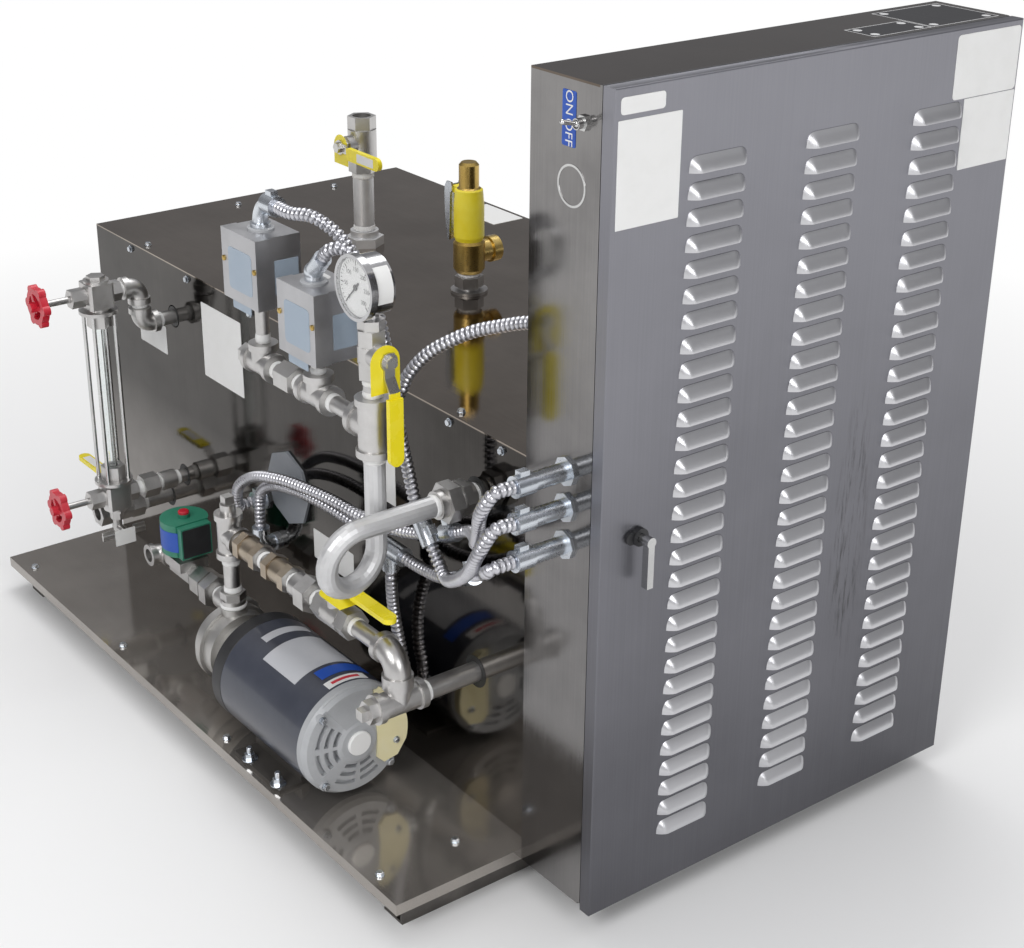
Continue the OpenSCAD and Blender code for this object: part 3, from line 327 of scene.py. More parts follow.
# %% [markdown]
# The door is brushed along its height and has been handled: dark streaks run down beside the middle column.
# The sheet is painted lighter towards the top as painted light, and the louvres are painted lighter than the
# sheet as a painted reflection of the bright ceiling in their upturned faces. A picture of brushed steel
# could be laid on it, but noise stretched along the height gives lines that stay sharp at any size.

# %% Brushed door
oil_y, oil_z = 0.195, 0.43
oil_wide, oil_tall = 0.034, 0.22
door_dark, door_light = (0.080, 0.080, 0.088), (0.34, 0.34, 0.375)
hood_painted_reflection = (0.62, 0.62, 0.64)
oil_tone = (0.045, 0.042, 0.04)


def brushed_door():
    door = Finish("door_steel", {"Metallic": 1.0, "Anisotropic": 0.5})
    lines = door.noise(1.0, 4, 0.65, (430, 430, 3.5))
    cloud = door.ramp(door.noise(2.6, 4, 0.6), 0.3, 0.72)
    height = door.ramp(door.axis("Z"), 0.05, 1.05)
    smudge_y = (door.axis("Y") - oil_y) / oil_wide
    smudge_z = (door.axis("Z") - oil_z) / oil_tall
    streaks = door.ramp(door.noise(1.0, 5, 0.72, (190, 190, 16)), 0.50, 0.66)
    outside = door.axis("X") > door_face - 1 * MM
    smudge = door.ramp(1 - smudge_y * smudge_y - smudge_z * smudge_z, 0.0, 0.8) * streaks * outside
    # Painted light and shade: the sheet is painted lighter towards the top and darker towards the bottom.
    tone = door.mix(height * 0.6 + cloud * 0.2 + lines * 0.2, door_dark, door_light)
    # Painted reflection: the louvre hoods are painted lighter than the sheet.
    hood = door.axis("X") > door_face + 0.4 * MM
    tone = door.mix(hood, tone, hood_painted_reflection)
    door.set(Base_Color=door.mix(smudge * 0.7, tone, oil_tone))
    door.set(Roughness=0.27 + 0.14 * lines + 0.08 * cloud)
    door.bump(lines, 0.00008, 0.6)
    return door.material


door_steel = brushed_door()
print("brushed door")

# %% [markdown]
# Pipe fittings are cast stainless: matt, grey-brown and pebbled. Each metal could have a tree of its own,
# but they differ only in colour, gloss and grain, so one function makes every cast or drawn metal.

# %% Cast and drawn metals
def grainy_metal(name, dark, light, roughness, grain, depth, metallic=1.0, painted_groove_shade=None):
    """A metal whose grain is bumps of some depth; the last argument, where given, is painted shade for its
    hollows.
    """
    metal = Finish(name, {"Metallic": metallic})
    pebble = metal.noise(grain, 4, 0.65)
    stain = metal.ramp(metal.noise(16, 4, 0.6), 0.3, 0.72)
    tone = metal.mix(stain * 0.7 + pebble * 0.3, dark, light)
    if painted_groove_shade:
        # Painted shade: where the surface is hollow, between the ridges, it is painted dark.
        ridge = metal.ramp(metal.node("NewGeometry")["Pointiness"], 0.45, 0.52)
        tone = metal.mix(ridge, painted_groove_shade, tone)
    metal.set(Base_Color=tone)
    metal.set(Roughness=roughness + 0.16 * pebble + 0.10 * stain)
    metal.bump(pebble, depth, 0.7)
    return metal.material


cast_dark, cast_light = (0.46, 0.45, 0.44), (0.70, 0.69, 0.68)
brass_dark, brass_light = (0.42, 0.28, 0.075), (0.68, 0.50, 0.18)
fitting_steel = grainy_metal("fitting_steel", cast_dark, cast_light, 0.24, 420, 0.00025)
pipe_steel = grainy_metal("pipe_steel", (0.56, 0.56, 0.565), (0.78, 0.78, 0.785), 0.34, 900, 0.00008, 0.75)
control_steel = grainy_metal("control_steel", (0.40, 0.40, 0.41), (0.58, 0.58, 0.595), 0.28, 700, 0.00005)
pump_metal = grainy_metal("pump_metal", (0.46, 0.45, 0.435), (0.68, 0.67, 0.65), 0.30, 360, 0.0003)
# Painted shade darkens the conduit's grooves.
conduit_steel = grainy_metal("conduit_steel", (0.44, 0.44, 0.47), (0.70, 0.70, 0.74), 0.18, 300, 0.00005,
                             painted_groove_shade=(0.06, 0.06, 0.07))
bezel_chrome = grainy_metal("bezel_chrome", (0.42, 0.42, 0.43), (0.66, 0.66, 0.67), 0.05, 500, 0.00003)
zinc = grainy_metal("zinc", (0.50, 0.54, 0.59), (0.80, 0.83, 0.87), 0.15, 260, 0.00008)
bright_steel = grainy_metal("bright_steel", (0.50, 0.50, 0.50), (0.72, 0.72, 0.71), 0.10, 500, 0.00003)
brass = grainy_metal("brass", brass_dark, brass_light, 0.22, 420, 0.00015)
runner_steel = grainy_metal("runner_steel", (0.10, 0.095, 0.09), (0.24, 0.225, 0.21), 0.34, 300, 0.0001)
print("cast and drawn metals")

# %% [markdown]
# Paint and plastic could use the metals' function, but they need other settings: no metal, a clear coat on
# the paint, and a little dust that dulls and lightens it in patches.

# %% Paints and plastics
def coated(name, colour, worn, roughness, coat=0.0, grain=240, depth=0.00006):
    paint = Finish(name, {"Coat Weight": coat, "Coat Roughness": 0.12})
    dust = paint.ramp(paint.noise(24, 5, 0.65), 0.45, 0.85)
    pebble = paint.noise(grain, 3, 0.5)
    paint.set(Base_Color=paint.mix(dust * 0.55, colour, worn))
    paint.set(Roughness=roughness + 0.14 * dust + 0.05 * pebble)
    paint.bump(pebble, depth, 0.5)
    return paint.material


red_new, red_worn = (0.52, 0.012, 0.030), (0.62, 0.06, 0.08)
vinyl_new, vinyl_worn = (0.86, 0.72, 0.012), (0.93, 0.82, 0.10)
motor_blue = coated("motor_blue", (0.040, 0.045, 0.064), (0.070, 0.077, 0.102), 0.28, 0.35)
cradle_dark = coated("cradle_dark", (0.06, 0.055, 0.05), (0.12, 0.11, 0.10), 0.30)
bell_grey = coated("bell_grey", (0.40, 0.41, 0.425), (0.52, 0.53, 0.54), 0.34, 0.1, 420, 0.0002)
cream_cover = coated("cream_cover", (0.80, 0.73, 0.44), (0.88, 0.84, 0.66), 0.36)
octagon_grey = coated("octagon_grey", (0.21, 0.225, 0.25), (0.31, 0.325, 0.345), 0.34)
red_enamel = coated("red_enamel", red_new, red_worn, 0.22, 0.4)
coil_green = coated("coil_green", (0.028, 0.20, 0.125), (0.07, 0.28, 0.19), 0.34)
black_plastic = coated("black_plastic", (0.018, 0.018, 0.02), (0.05, 0.05, 0.053), 0.38)
yellow_vinyl = coated("yellow_vinyl", vinyl_new, vinyl_worn, 0.30, 0.2, 160, 0.0001)
label_white = coated("label_white", (0.80, 0.80, 0.79), (0.72, 0.72, 0.70), 0.42, 0.0, 200, 0.00002)
label_blue = coated("label_blue", (0.012, 0.075, 0.42), (0.04, 0.13, 0.50), 0.34)
label_pale = coated("label_pale", (0.33, 0.40, 0.48), (0.44, 0.50, 0.56), 0.32)
label_silver = coated("label_silver", (0.50, 0.51, 0.54), (0.60, 0.60, 0.62), 0.26)
label_red = coated("label_red", (0.62, 0.03, 0.05), (0.68, 0.10, 0.11), 0.36)
tape_white = coated("tape_white", (0.84, 0.84, 0.83), (0.74, 0.74, 0.72), 0.5, 0.0, 700, 0.0002)
# Black ink for print; the same black is painted shade in the pipe holes.
ink_and_shade_black = coated("ink_and_shade_black", (0.012, 0.012, 0.012), (0.03, 0.03, 0.03), 0.45)
print("paints and plastics")

# %% [markdown]
# A ball-valve lever is one steel strip with a vinyl sleeve dipped over most of it. It could be cut into two
# meshes, but the solid is one piece, so the finish splits at a distance from the stem: steel near it, vinyl
# beyond.

# %% Lever finish
def lever_finish(name, hub, reach):
    """Steel within reach of the hub, and yellow vinyl beyond it."""
    lever = Finish(name, {})
    away = lever.node("VectorMath", {"operation": "DISTANCE"}, {0: lever.where(), 1: hub})["Value"]
    sleeve = away > reach
    dust = lever.ramp(lever.noise(24, 5, 0.65), 0.45, 0.85)
    steel = lever.mix(dust, (0.62, 0.61, 0.59), (0.45, 0.44, 0.42))
    vinyl = lever.mix(dust * 0.6, vinyl_new, vinyl_worn)
    lever.set(Base_Color=lever.mix(sleeve, steel, vinyl), Metallic=1 - sleeve, Roughness=0.26 + 0.12 * dust)
    lever.bump(lever.noise(160, 3), 0.0001, 0.5)
    return lever.material


hubs = {joint["child"]: Vector(joint["pos_m"]) for joint in frame["joints"]}
lever_bodies = {"drain_lever": "drain_handle", "gauge_lever": "gauge_handle",
                "steam_lever": "steam_handle", "feed_lever": "feed_handle"}
sleeve_start = 41 * MM


def lever_hub(node, body):
    """The stem's place in the plane of the lever's strip."""
    low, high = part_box(node)
    return Vector(tuple(min(max(h, a), b) for h, a, b in zip(hubs[body], low, high)))


lever_finishes = {node: lever_finish(node + "_finish", lever_hub(node, body), sleeve_start)
                  for node, body in lever_bodies.items()}
print("lever finishes", sorted(lever_finishes))

# %% [markdown]
# Some solids are two materials in one: a red wheel on a steel stem, a brass cap on a yellow sleeve, bronze
# valves on a steel pipe. They split at planes, so one finish with a mask serves them all. A tone is two
# colours, how metallic it is and how rough.

# %% Two-tone finishes
red_tone = (red_new, red_worn, 0.0, 0.24)
steel_tone = (cast_dark, cast_light, 1.0, 0.24)
yellow_tone = ((0.86, 0.70, 0.012), vinyl_worn, 0.0, 0.32)
brass_tone = (brass_dark, brass_light, 1.0, 0.22)
bronze_tone = ((0.34, 0.28, 0.21), (0.54, 0.47, 0.38), 1.0, 0.26)


def two_tone(name, mask_of, below, above):
    """A finish that takes its look from below where the mask is 0 and from above where it is 1."""
    split = Finish(name, {})
    mask = mask_of(split)
    stain = split.ramp(split.noise(18, 5, 0.62), 0.35, 0.75)
    pebble = split.noise(420, 4, 0.65)
    tones = [split.mix(stain, tone[0], tone[1]) for tone in (below, above)]
    split.set(Base_Color=split.mix(mask, *tones))
    split.set(Metallic=below[2] + (above[2] - below[2]) * mask)
    split.set(Roughness=below[3] + (above[3] - below[3]) * mask + 0.14 * pebble)
    split.bump(pebble, 0.00015, 0.6)
    return split.material


wheel_back = at(0, -206, 0).y
cap_plane = cover_top + 0.154
bush_plane = cover_top + 0.030
wheel_finish = two_tone("wheel_finish", lambda f: f.axis("Y") > wheel_back, red_tone, steel_tone)
sleeve_finish = two_tone("sleeve_finish", lambda f: f.axis("Z") > cap_plane, yellow_tone, brass_tone)
safety_finish = two_tone("safety_finish", lambda f: f.axis("Z") > bush_plane, steel_tone, brass_tone)


check_starts = (653, 729)
check_length = 56


def check_valves(finish):
    """1 along the two bronze check valves of the delivery pipe."""
    along = finish.axis("X")
    spans = [(at(start, 0, 0).x, at(start + check_length, 0, 0).x) for start in check_starts]
    masks = [(along > low) * (along < high) for low, high in spans]
    return masks[0] + masks[1]


delivery_finish = two_tone("delivery_finish", check_valves, steel_tone, bronze_tone)
print("two-tone finishes")

# %% [markdown]
# The gauge glass is a clear tube. Its tint is faint, because a thick wall of clear glass is only slightly
# green. The pane of the dial is thin and flat. It could refract too, but a nearly clear film lets more light
# through to the card.

# %% Glass
glass = Finish("gauge_glass", {"Transmission Weight": 1.0, "IOR": 1.47, "Roughness": 0.03,
                               "Base Color": (0.96, 0.985, 0.98, 1)}).material
clear_pane = Finish("clear_pane", {"Alpha": 0.12, "Roughness": 0.03,
                                   "Base Color": (0.95, 0.96, 0.96, 1)}).material
print("glass and pane")

# %% [markdown]
# Each solid now gets its finish. That could be a line for each solid, but a table from finish to solids
# shows at a glance what is made of what, and the count shows whether one was missed.

# %% Dress the solids
finishes = {
    shaded_housing_steel: ["boiler_jacket"],
    lit_cover_steel: ["jacket_cover"],
    lit_deck_steel: ["skid_deck"],
    cabinet_steel: ["cabinet_back", "cabinet_left_side", "cabinet_right_side", "cabinet_floor"],
    shaded_roof_steel: ["cabinet_roof"],
    door_steel: ["cabinet_door"],
    runner_steel: ["left_runner", "right_runner"],
    fitting_steel: ["upper_gauge_valve", "lower_gauge_valve", "gauge_drain_cock", "drain_valve",
                    "siphon_union", "control_manifold", "gauge_valve", "steam_valve", "inlet_fittings",
                    "solenoid_valve", "feed_valve", "upper_gauge_pipe", "lower_gauge_pipe", "feed_pipe"],
    pipe_steel: ["siphon_loop", "steam_pipe"],
    bright_steel: ["cabinet_hinges", "latch_handle", "power_switch", "switch_lever", "gauge_guard_rods"],
    bezel_chrome: ["pressure_gauge"],
    zinc: ["conduit_connectors", "conduit_fittings", "control_conduits", "probe_conduit", "feed_conduits",
           "safety_lever"],
    control_steel: ["pressure_control_1", "pressure_control_2"],
    octagon_grey: ["octagon_cover"],
    motor_blue: ["motor_shell"],
    cradle_dark: ["motor_cradle"],
    bell_grey: ["motor_end_bell"],
    cream_cover: ["motor_terminal_box"],
    pump_metal: ["pump_casing"],
    safety_finish: ["safety_valve_body"],
    sleeve_finish: ["safety_valve_sleeve"],
    delivery_finish: ["delivery_pipe"],
    wheel_finish: ["upper_hand_wheel", "lower_hand_wheel"],
    coil_green: ["solenoid_coil"],
    black_plastic: ["latch_base"],
    glass: ["gauge_glass"],
}
for node, material in lever_finishes.items():
    finishes[material] = [node]
for material, names in finishes.items():
    for name in names:
        nodes[name].data.materials.clear()
        nodes[name].data.materials.append(material)
print("dressed", sum(len(names) for names in finishes.values()), "of", len(nodes))

# %% [markdown]
# Screws, tape and plates come in dozens. Each kind is gathered into one mesh, because one mesh of a hundred
# screws is lighter to handle than a hundred objects. A gatherer knows two shapes: a turned one, as a lathe
# makes, and a flat one with an eased edge, as a press makes.

# %% Shape gatherer
class Shapes:
    """Many small shapes that become one mesh."""

    def __init__(self):
        self.points = []
        self.faces = []

    def add(self, points, faces):
        first = len(self.points)
        self.points += points
        self.faces += [[first + i for i in face] for face in faces]

    def skin(self, rings, closed):
        """Joins rings of equal length, and either caps the two ends or joins the last ring to the first."""
        count = len(rings)
        steps = len(rings[0])
        pairs = [(i, (i + 1) % count) for i in range(count if closed else count - 1)]
        faces = [[a * steps + k, a * steps + (k + 1) % steps, b * steps + (k + 1) % steps, b * steps + k]
                 for a, b in pairs for k in range(steps)]
        if not closed:
            faces += [list(range(steps))[::-1], [(count - 1) * steps + k for k in range(steps)]]
        self.add([point for ring in rings for point in ring], faces)

    def lathe(self, place, axis, profile, steps=24, hollow=False, wobble=0.0):
        """Turns a profile of (height, radius) in mm about an axis; a hollow one is a closed loop."""
        side = axis.orthogonal().normalized()
        other = axis.cross(side)
        rings = []
        for height, radius in profile:
            ring = []
            for k in range(steps):
                angle = 2 * math.pi * k / steps
                reach = (radius + (draw.uniform(-wobble, wobble) if wobble else 0)) * MM
                ring.append(place + axis * height * MM
                            + (side * math.cos(angle) + other * math.sin(angle)) * reach)
            rings.append(ring)
        self.skin(rings, hollow)

    def slab(self, place, right, up, outline, thickness, edge=0.0):
        """An outline in mm in the plane of right and up, raised by thickness, with an eased edge."""
        out = right.cross(up)
        middle = sum((Vector(p) for p in outline), Vector((0, 0))) / len(outline)
        rings = []
        for height, inset in ((0, 0), (thickness - edge, 0), (thickness, edge)):
            ring = []
            for point in outline:
                away = Vector(point) - middle
                flat = middle + away * (1 - inset / away.length)
                ring.append(place + (right * flat.x + up * flat.y + out * height) * MM)
            rings.append(ring)
        self.skin(rings, False)

    def piece(self, name, body, material, angle=40):
        mesh = bpy.data.meshes.new(name)
        mesh.from_pydata(self.points, [], self.faces)
        tidy = bmesh.new()
        tidy.from_mesh(mesh)
        bmesh.ops.recalc_face_normals(tidy, faces=tidy.faces)
        tidy.to_mesh(mesh)
        tidy.free()
        mesh.polygons.foreach_set("use_smooth", [True] * len(mesh.polygons))
        mesh.set_sharp_from_angle(angle=math.radians(angle))
        mesh.materials.append(material)
        made = bpy.data.objects.new(name, mesh)
        bpy.context.scene.collection.objects.link(made)
        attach(made, body)
        print(name, len(mesh.polygons), "faces")
        return made


def rounded(width, height, radius, steps=5):
    """A rounded rectangle about the middle, as a list of flat points."""
    corners = [(1, 1, 0), (-1, 1, 90), (-1, -1, 180), (1, -1, 270)]
    points = []
    for x, y, start in corners:
        for k in range(steps + 1):
            angle = math.radians(start + 90 * k / steps)
            points.append((x * (width / 2 - radius) + radius * math.cos(angle),
                           y * (height / 2 - radius) + radius * math.sin(angle)))
    return points


def circle(radius, steps=32):
    return rounded(2 * radius, 2 * radius, radius, steps // 4)


X, Y, Z = Vector((1, 0, 0)), Vector((0, 1, 0)), Vector((0, 0, 1))
print("shapes ready")

# %% [markdown]
# The door is the largest thing in view, and its louvres are pressed: the sheet is slit, pushed out and
# drawn into a blunt end. A bevelled box would look too hard. One section, swept along the slit and turned a
# quarter at each end, makes the shape, and the turn follows a squared circle, because a press tool has
# tight corners.

# %% Louvre section
door_low, door_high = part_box("cabinet_door")
near_y, far_y = side_low.y, roof_high.y
cabinet_foot = side_low.z - 2.5 * MM
slit_h, slit_len, hood_out = 18, 85, 9
column_places = (147.5, 322.5, 497.5)
first_row, row_pitch, row_count = 72, 29, 30
columns = [near_y + place * MM for place in column_places]
rows = [cabinet_foot + (first_row + row_pitch * k) * MM for k in range(row_count)]
outer = [(1.0, 0.0), (0.93, 0.10), (0.78, 0.34), (0.55, 0.63), (0.30, 0.86), (0.12, 0.97), (0.0, 1.0)]
drawn_up, drawn_out = 1.2, 1.3
section = ([(r * slit_h, o * hood_out) for r, o in outer]
           + [(max(r * slit_h - drawn_up, 0), max(o * hood_out - drawn_out, 0)) for r, o in reversed(outer)])
turn_steps = 9
end_share = 0.75
squareness = 0.74
slit_half = (slit_len / 2 - slit_h * end_share) * MM


def add_hood(shapes, y, z):
    rings = []
    for side in (-1, 1):
        for k in range(turn_steps + 1):
            angle = math.radians(90 * (turn_steps - k if side < 0 else k) / turn_steps)
            out, rise = (max(part(angle), 0) ** squareness for part in (math.sin, math.cos))
            rings.append([Vector((door_face + o * MM, y + side * (slit_half + r * end_share * out * MM),
                                  z + r * rise * MM)) for r, o in section])
    shapes.skin(rings, False)


print("louvres", len(columns), "columns of", len(rows))

# %% [markdown]
# The sheet of the door is a pan with folded edges. A solid cut ninety times would be slow and leave long
# thin faces, so the sheet is a grid with the slits left out, and the door is open where the real one is.

# %% Louvred door
def add_sheet(shapes, x, lows_y, lows_z):
    """A sheet in the door's plane as a grid of cells, leaving out every cell that is a slit."""
    for j, (y0, y1) in enumerate(zip(lows_y, lows_y[1:])):
        for k, (z0, z1) in enumerate(zip(lows_z, lows_z[1:])):
            if not (j % 2 and k % 2):
                corners = ((y0, z0), (y1, z0), (y1, z1), (y0, z1))
                shapes.add([Vector((x, y, z)) for y, z in corners], [[0, 1, 2, 3]])


door_depth, sheet, bend = 18, 2, 1.5
lip_room = 2
pan_profile = [(0, bend), (-bend / 6, bend / 2), (-bend / 2, bend / 6), (-bend, 0),
               (-door_depth, 0), (-door_depth, sheet), (-sheet, sheet), (-sheet, bend)]
breaks_y = ([near_y + bend * MM] + [y + side * slit_half for y in columns for side in (-1, 1)]
            + [far_y - bend * MM])
breaks_z = ([door_low.z + bend * MM] + [z + rise * MM for z in rows for rise in (0, slit_h - lip_room)]
            + [door_high.z - bend * MM])
door_shapes = Shapes()
add_sheet(door_shapes, door_face, breaks_y, breaks_z)
add_sheet(door_shapes, door_face - sheet * MM, breaks_y, breaks_z)
centre_y, centre_z = (near_y + far_y) / 2, (door_low.z + door_high.z) / 2
rings = []
for depth, inset in pan_profile:
    half_y, half_z = (far_y - near_y) / 2 - inset * MM, (door_high.z - door_low.z) / 2 - inset * MM
    rings.append([Vector((door_face + depth * MM, centre_y + a * half_y, centre_z + b * half_z))
                  for a, b in ((1, 1), (-1, 1), (-1, -1), (1, -1))])
for first, second in zip(rings, rings[1:]):
    for k in range(4):
        door_shapes.add([first[k], first[(k + 1) % 4], second[(k + 1) % 4], second[k]], [[0, 1, 2, 3]])
for y in columns:
    for z in rows:
        add_hood(door_shapes, y, z)
hinge = hubs["door"]
cabinet_h = 1.016
hinge_shares = (0.12, 0.5, 0.88)
knuckle, leaf = 27.4, 18.4
for share in hinge_shares:
    z = cabinet_foot + share * cabinet_h
    door_shapes.lathe(Vector((hinge.x, hinge.y, z - knuckle / 2 * MM)), Z,
                      [(0, 2.8), (0, 5), (knuckle, 5), (knuckle, 2.8)], 20, True)
    door_shapes.slab(Vector((hinge.x + leaf / 2 * MM, far_y, z)), Z, X, rounded(knuckle, leaf, 0.5, 2), 1.2)
louvred_door = door_shapes.piece("louvred_door", "door", door_steel, 48)
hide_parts("cabinet_door")

# %% [markdown]
# The cabinet ends in a rim that the door closes against. Without it the gap round the door would show as a
# black line. It is a thin lip along the top, the bottom and the latch side, and it stops a millimetre short
# of the door.

# %% Cabinet rim
rim_gap = 1 * MM
rim_front = door_face - door_depth * MM - rim_gap
rim_width = (rim_front - side_high.x) / MM
rim_t = 1.5
rim_clear = 4
rim_x = (rim_front + side_high.x) / 2
rim_z = (side_low.z + roof_high.z) / 2
rim = Shapes()
rim.slab(Vector((rim_x, near_y + rim_t * MM, rim_z)), X, Z,
         rounded(rim_width, (roof_high.z - side_low.z) / MM, 0.2, 1), rim_t)
for z, up in ((roof_high.z - rim_t * MM, Y), (side_low.z + rim_t * MM, -Y)):
    rim.slab(Vector((rim_x, centre_y, z)), X, up,
             rounded(rim_width, (far_y - near_y) / MM - rim_clear, 0.2, 1), rim_t)
rim.piece("cabinet_rim", "base", cabinet_steel)

# %% [markdown]
# Flexible conduit is a steel strip wound into a tube, so it shows a ridge about every seven millimetres.
# Its route is a smooth curve through listed points, the same ones that the plain solids follow, because a
# held conduit keeps its shape and needs no simulation.

# %% Conduit routes
routes = {
    "control_conduits": [
        [[795, -124, 836], [828, -124, 836], [862, -114, 838], [893, -97, 818], [911, -80, 778],
         [915, -75, 735], [919, -71, 690], [926, -67, 650], [941, -62, 628], [957, -58, 636], [966, -54, 656],
         [982, -45, 680], [1002, -33, 700], [1036, -12, 723], [1072, 4, 738], [1113, 15, 752],
         [1137, 15, 752]],
        [[906, -130, 802], [918, -130, 814], [936, -122, 820], [952, -111, 806], [963, -102, 770],
         [968, -94, 735], [969, -86, 695], [970, -79, 650], [972, -71, 590], [976, -63, 540], [982, -60, 508],
         [990, -60, 488], [1000, -60, 476]],
        [[1020, -60, 452], [1035, -60, 434], [1062, -68, 425], [1105, -84, 447], [1160, -106, 488],
         [1202, -122, 535], [1223, -116, 570], [1223, -90, 570]]],
    "probe_conduit": [
        [[505, -20, 302], [505, -44, 302], [530, -56, 345], [580, -57, 379], [640, -54, 397],
         [700, -50, 406], [770, -46, 412], [830, -42, 412], [880, -38, 416], [930, -33, 425],
         [979, -30, 441], [1005, -30, 453]],
        [[1031, -30, 465], [1057, -30, 477], [1092, -46, 486], [1128, -72, 502], [1168, -98, 540],
         [1203, -120, 585], [1223, -116, 615], [1223, -90, 615]]],
    "feed_conduits": [
        [[541, -30, 276], [541, -30, 302], [550, -31, 336], [584, -33, 360], [627, -34, 374],
         [682, -34, 383], [745, -32, 386], [805, -30, 384], [845, -30, 382], [870, -30, 382]],
        [[916, -30, 382], [944, -30, 382], [1000, -35, 392], [1056, -46, 418], [1084, -54, 434]],
        [[1112, -62, 450], [1140, -70, 466], [1180, -96, 492], [1212, -118, 514], [1223, -116, 523],
         [1223, -90, 523]],
        [[884, -30, 352], [884, -30, 338], [880, -27, 318], [875, -22, 290], [875, -17, 256],
         [881, -14, 222], [888, -14, 200], [890, -14, 184], [890, -14, 171]]]}
conduit_r = 8.4 * MM
rib_pitch = 7.2 * MM
rib_shape = [(0.0, 0.76), (0.22, 0.79), (0.36, 0.96), (0.58, 1.0), (0.80, 0.96), (0.92, 0.79)]
conduit_sides = 14


def smooth_line(route, parts=16):
    """Points along a smooth curve through the route, with the length so far at each."""
    posts = [at(*place) for place in route]
    posts = [2 * posts[0] - posts[1]] + posts + [2 * posts[-1] - posts[-2]]
    line = []
    for a, b, c, d in zip(posts, posts[1:], posts[2:], posts[3:]):
        for k in range(parts):
            t = k / parts
            line.append(0.5 * (2 * b + (c - a) * t + (2 * a - 5 * b + 4 * c - d) * t ** 2
                               + (3 * b - a - 3 * c + d) * t ** 3))
    line.append(posts[-2])
    lengths = [0.0]
    for first, second in zip(line, line[1:]):
        lengths.append(lengths[-1] + (second - first).length)
    return line, lengths


def point_on(line, lengths, distance):
    """The point at a distance along the line, and the line's direction there."""
    i = min(max(bisect.bisect_right(lengths, distance) - 1, 0), len(line) - 2)
    share = (distance - lengths[i]) / (lengths[i + 1] - lengths[i])
    return line[i].lerp(line[i + 1], share), (line[i + 1] - line[i]).normalized()


print("conduit routes", sum(len(stretches) for stretches in routes.values()))

# %% [markdown]
# The ridges could be a bump in the finish, but their outline shows against the pale floor. So a tube is
# swept along each route, with six rings to a ridge, which is enough to round it.

# %% Ribbed conduits
def add_conduit(shapes, route):
    line, lengths = smooth_line(route)
    ribs = int(lengths[-1] / rib_pitch)
    stops = [((i + share) * lengths[-1] / ribs, conduit_r * size)
             for i in range(ribs) for share, size in rib_shape]
    stops.append((lengths[-1], conduit_r * rib_shape[0][1]))
    side = None
    rings = []
    for distance, radius in stops:
        place, ahead = point_on(line, lengths, distance)
        side = ahead.orthogonal() if side is None else side - ahead * side.dot(ahead)
        side.normalize()
        other = ahead.cross(side)
        rings.append([place + radius * (math.cos(a) * side + math.sin(a) * other)
                      for a in (2 * math.pi * k / conduit_sides for k in range(conduit_sides))])
    shapes.skin(rings, False)
    return lengths[-1]


for node, stretches in routes.items():
    ribbed = Shapes()
    spans = [add_conduit(ribbed, route) for route in stretches]
    made = ribbed.piece("ribbed_" + node, "base", conduit_steel, 70)
    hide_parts(node)
    print(node, [round(span, 3) for span in spans], "m")

# %% [markdown]
# Many screwed joints are wrapped in white thread tape, and a little of each wrap shows outside the socket.
# It is the brightest thing on the pipework. A painted stripe would look flat, so the wraps are modelled,
# one uneven ring at each joint.

# %% Thread tape
tape_joints = [
    (250, -28, 511, Y, 10.7, 7), (250, -55, 538, Z, 10.7, 7), (250, -87, 572, Y, 10.7, 5),
    (250, -87, 244, Y, 10.7, 10), (250, -51, 244, Y, 10.7, 7), (250, -20, 244, Y, 10.7, 8),
    (190, -52, 188, Y, 13.3, 8),
    (1033, -68, 511, Y, 13.3, 6), (1033, -10, 511, Y, 13.3, 7), (1004, -129, 577, Z, 13.3, 9),
    (783, -129, 623, X, 10.7, 8), (795, -129, 623, X, 10.7, 8), (837, -129, 623, X, 10.7, 7),
    (847, -129, 623, X, 10.7, 7), (914, -129, 623, X, 10.7, 9), (961, -129, 623, X, 10.7, 9),
    (753, -129, 651, Z, 8.7, 12), (884, -129, 651, Z, 8.7, 8),
    (1004, -129, 660, Z, 11.3, 8), (1004, -129, 675, Z, 11.3, 9),
    (343, 291, 703, Z, 16, 10), (343, 291, 620, Z, 16, 8), (619, 291, 620, Z, 15, 6),
    (613, -120, 207, Z, 18, 6), (613, -120, 231, Z, 11.8, 9), (613, -120, 274, Z, 11.8, 12),
    (647, -120, 320, X, 11.8, 6), (709, -120, 320, X, 11.8, 7), (722, -120, 320, X, 11.8, 7),
    (785, -120, 320, X, 11.8, 6), (791, -120, 320, X, 11.8, 6), (843, -120, 320, X, 11.8, 7),
    (851, -120, 320, X, 11.8, 8), (935, -120, 320, X, 11.8, 8), (988, -120, 320, X, 11.8, 8),
    (1030, -84, 256, Y, 13.3, 8),
    (369, -90, 173, X, 10.7, 6), (378, -90, 173, X, 10.7, 7), (446, -90, 173, X, 10.7, 9),
    (484, -90, 173, X, 10.7, 7), (512, -90, 173, X, 10.7, 6), (519, -90, 173, X, 10.7, 6),
    (556, -90, 173, X, 10.7, 8)]
wraps = Shapes()
for u, v, z, axis, radius, width in tape_joints:
    loop = [(0, radius - 0.4), (0.6, radius + 0.7), (0.4 * width, radius + 1.2), (0.7 * width, radius + 0.9),
            (width, radius + 0.5), (width, radius - 0.4)]
    wraps.lathe(at(u, v, z), axis, loop, 28, True, 0.16)
wraps.piece("thread_tape", "base", tape_white, 60)

# %% [markdown]
# Pale plates lie flat on the housing and the door. They could be painted into the finish, but a plate has
# an edge that catches light, so each is a thin slab with eased corners.

# %% Plates on flat sheet
def flat_plate(name, body, place, right, up, size, material, radius=2, thickness=0.6):
    plate = Shapes()
    plate.slab(place, right, up, rounded(*size, radius), thickness, 0.2)
    return plate.piece(name, body, material)


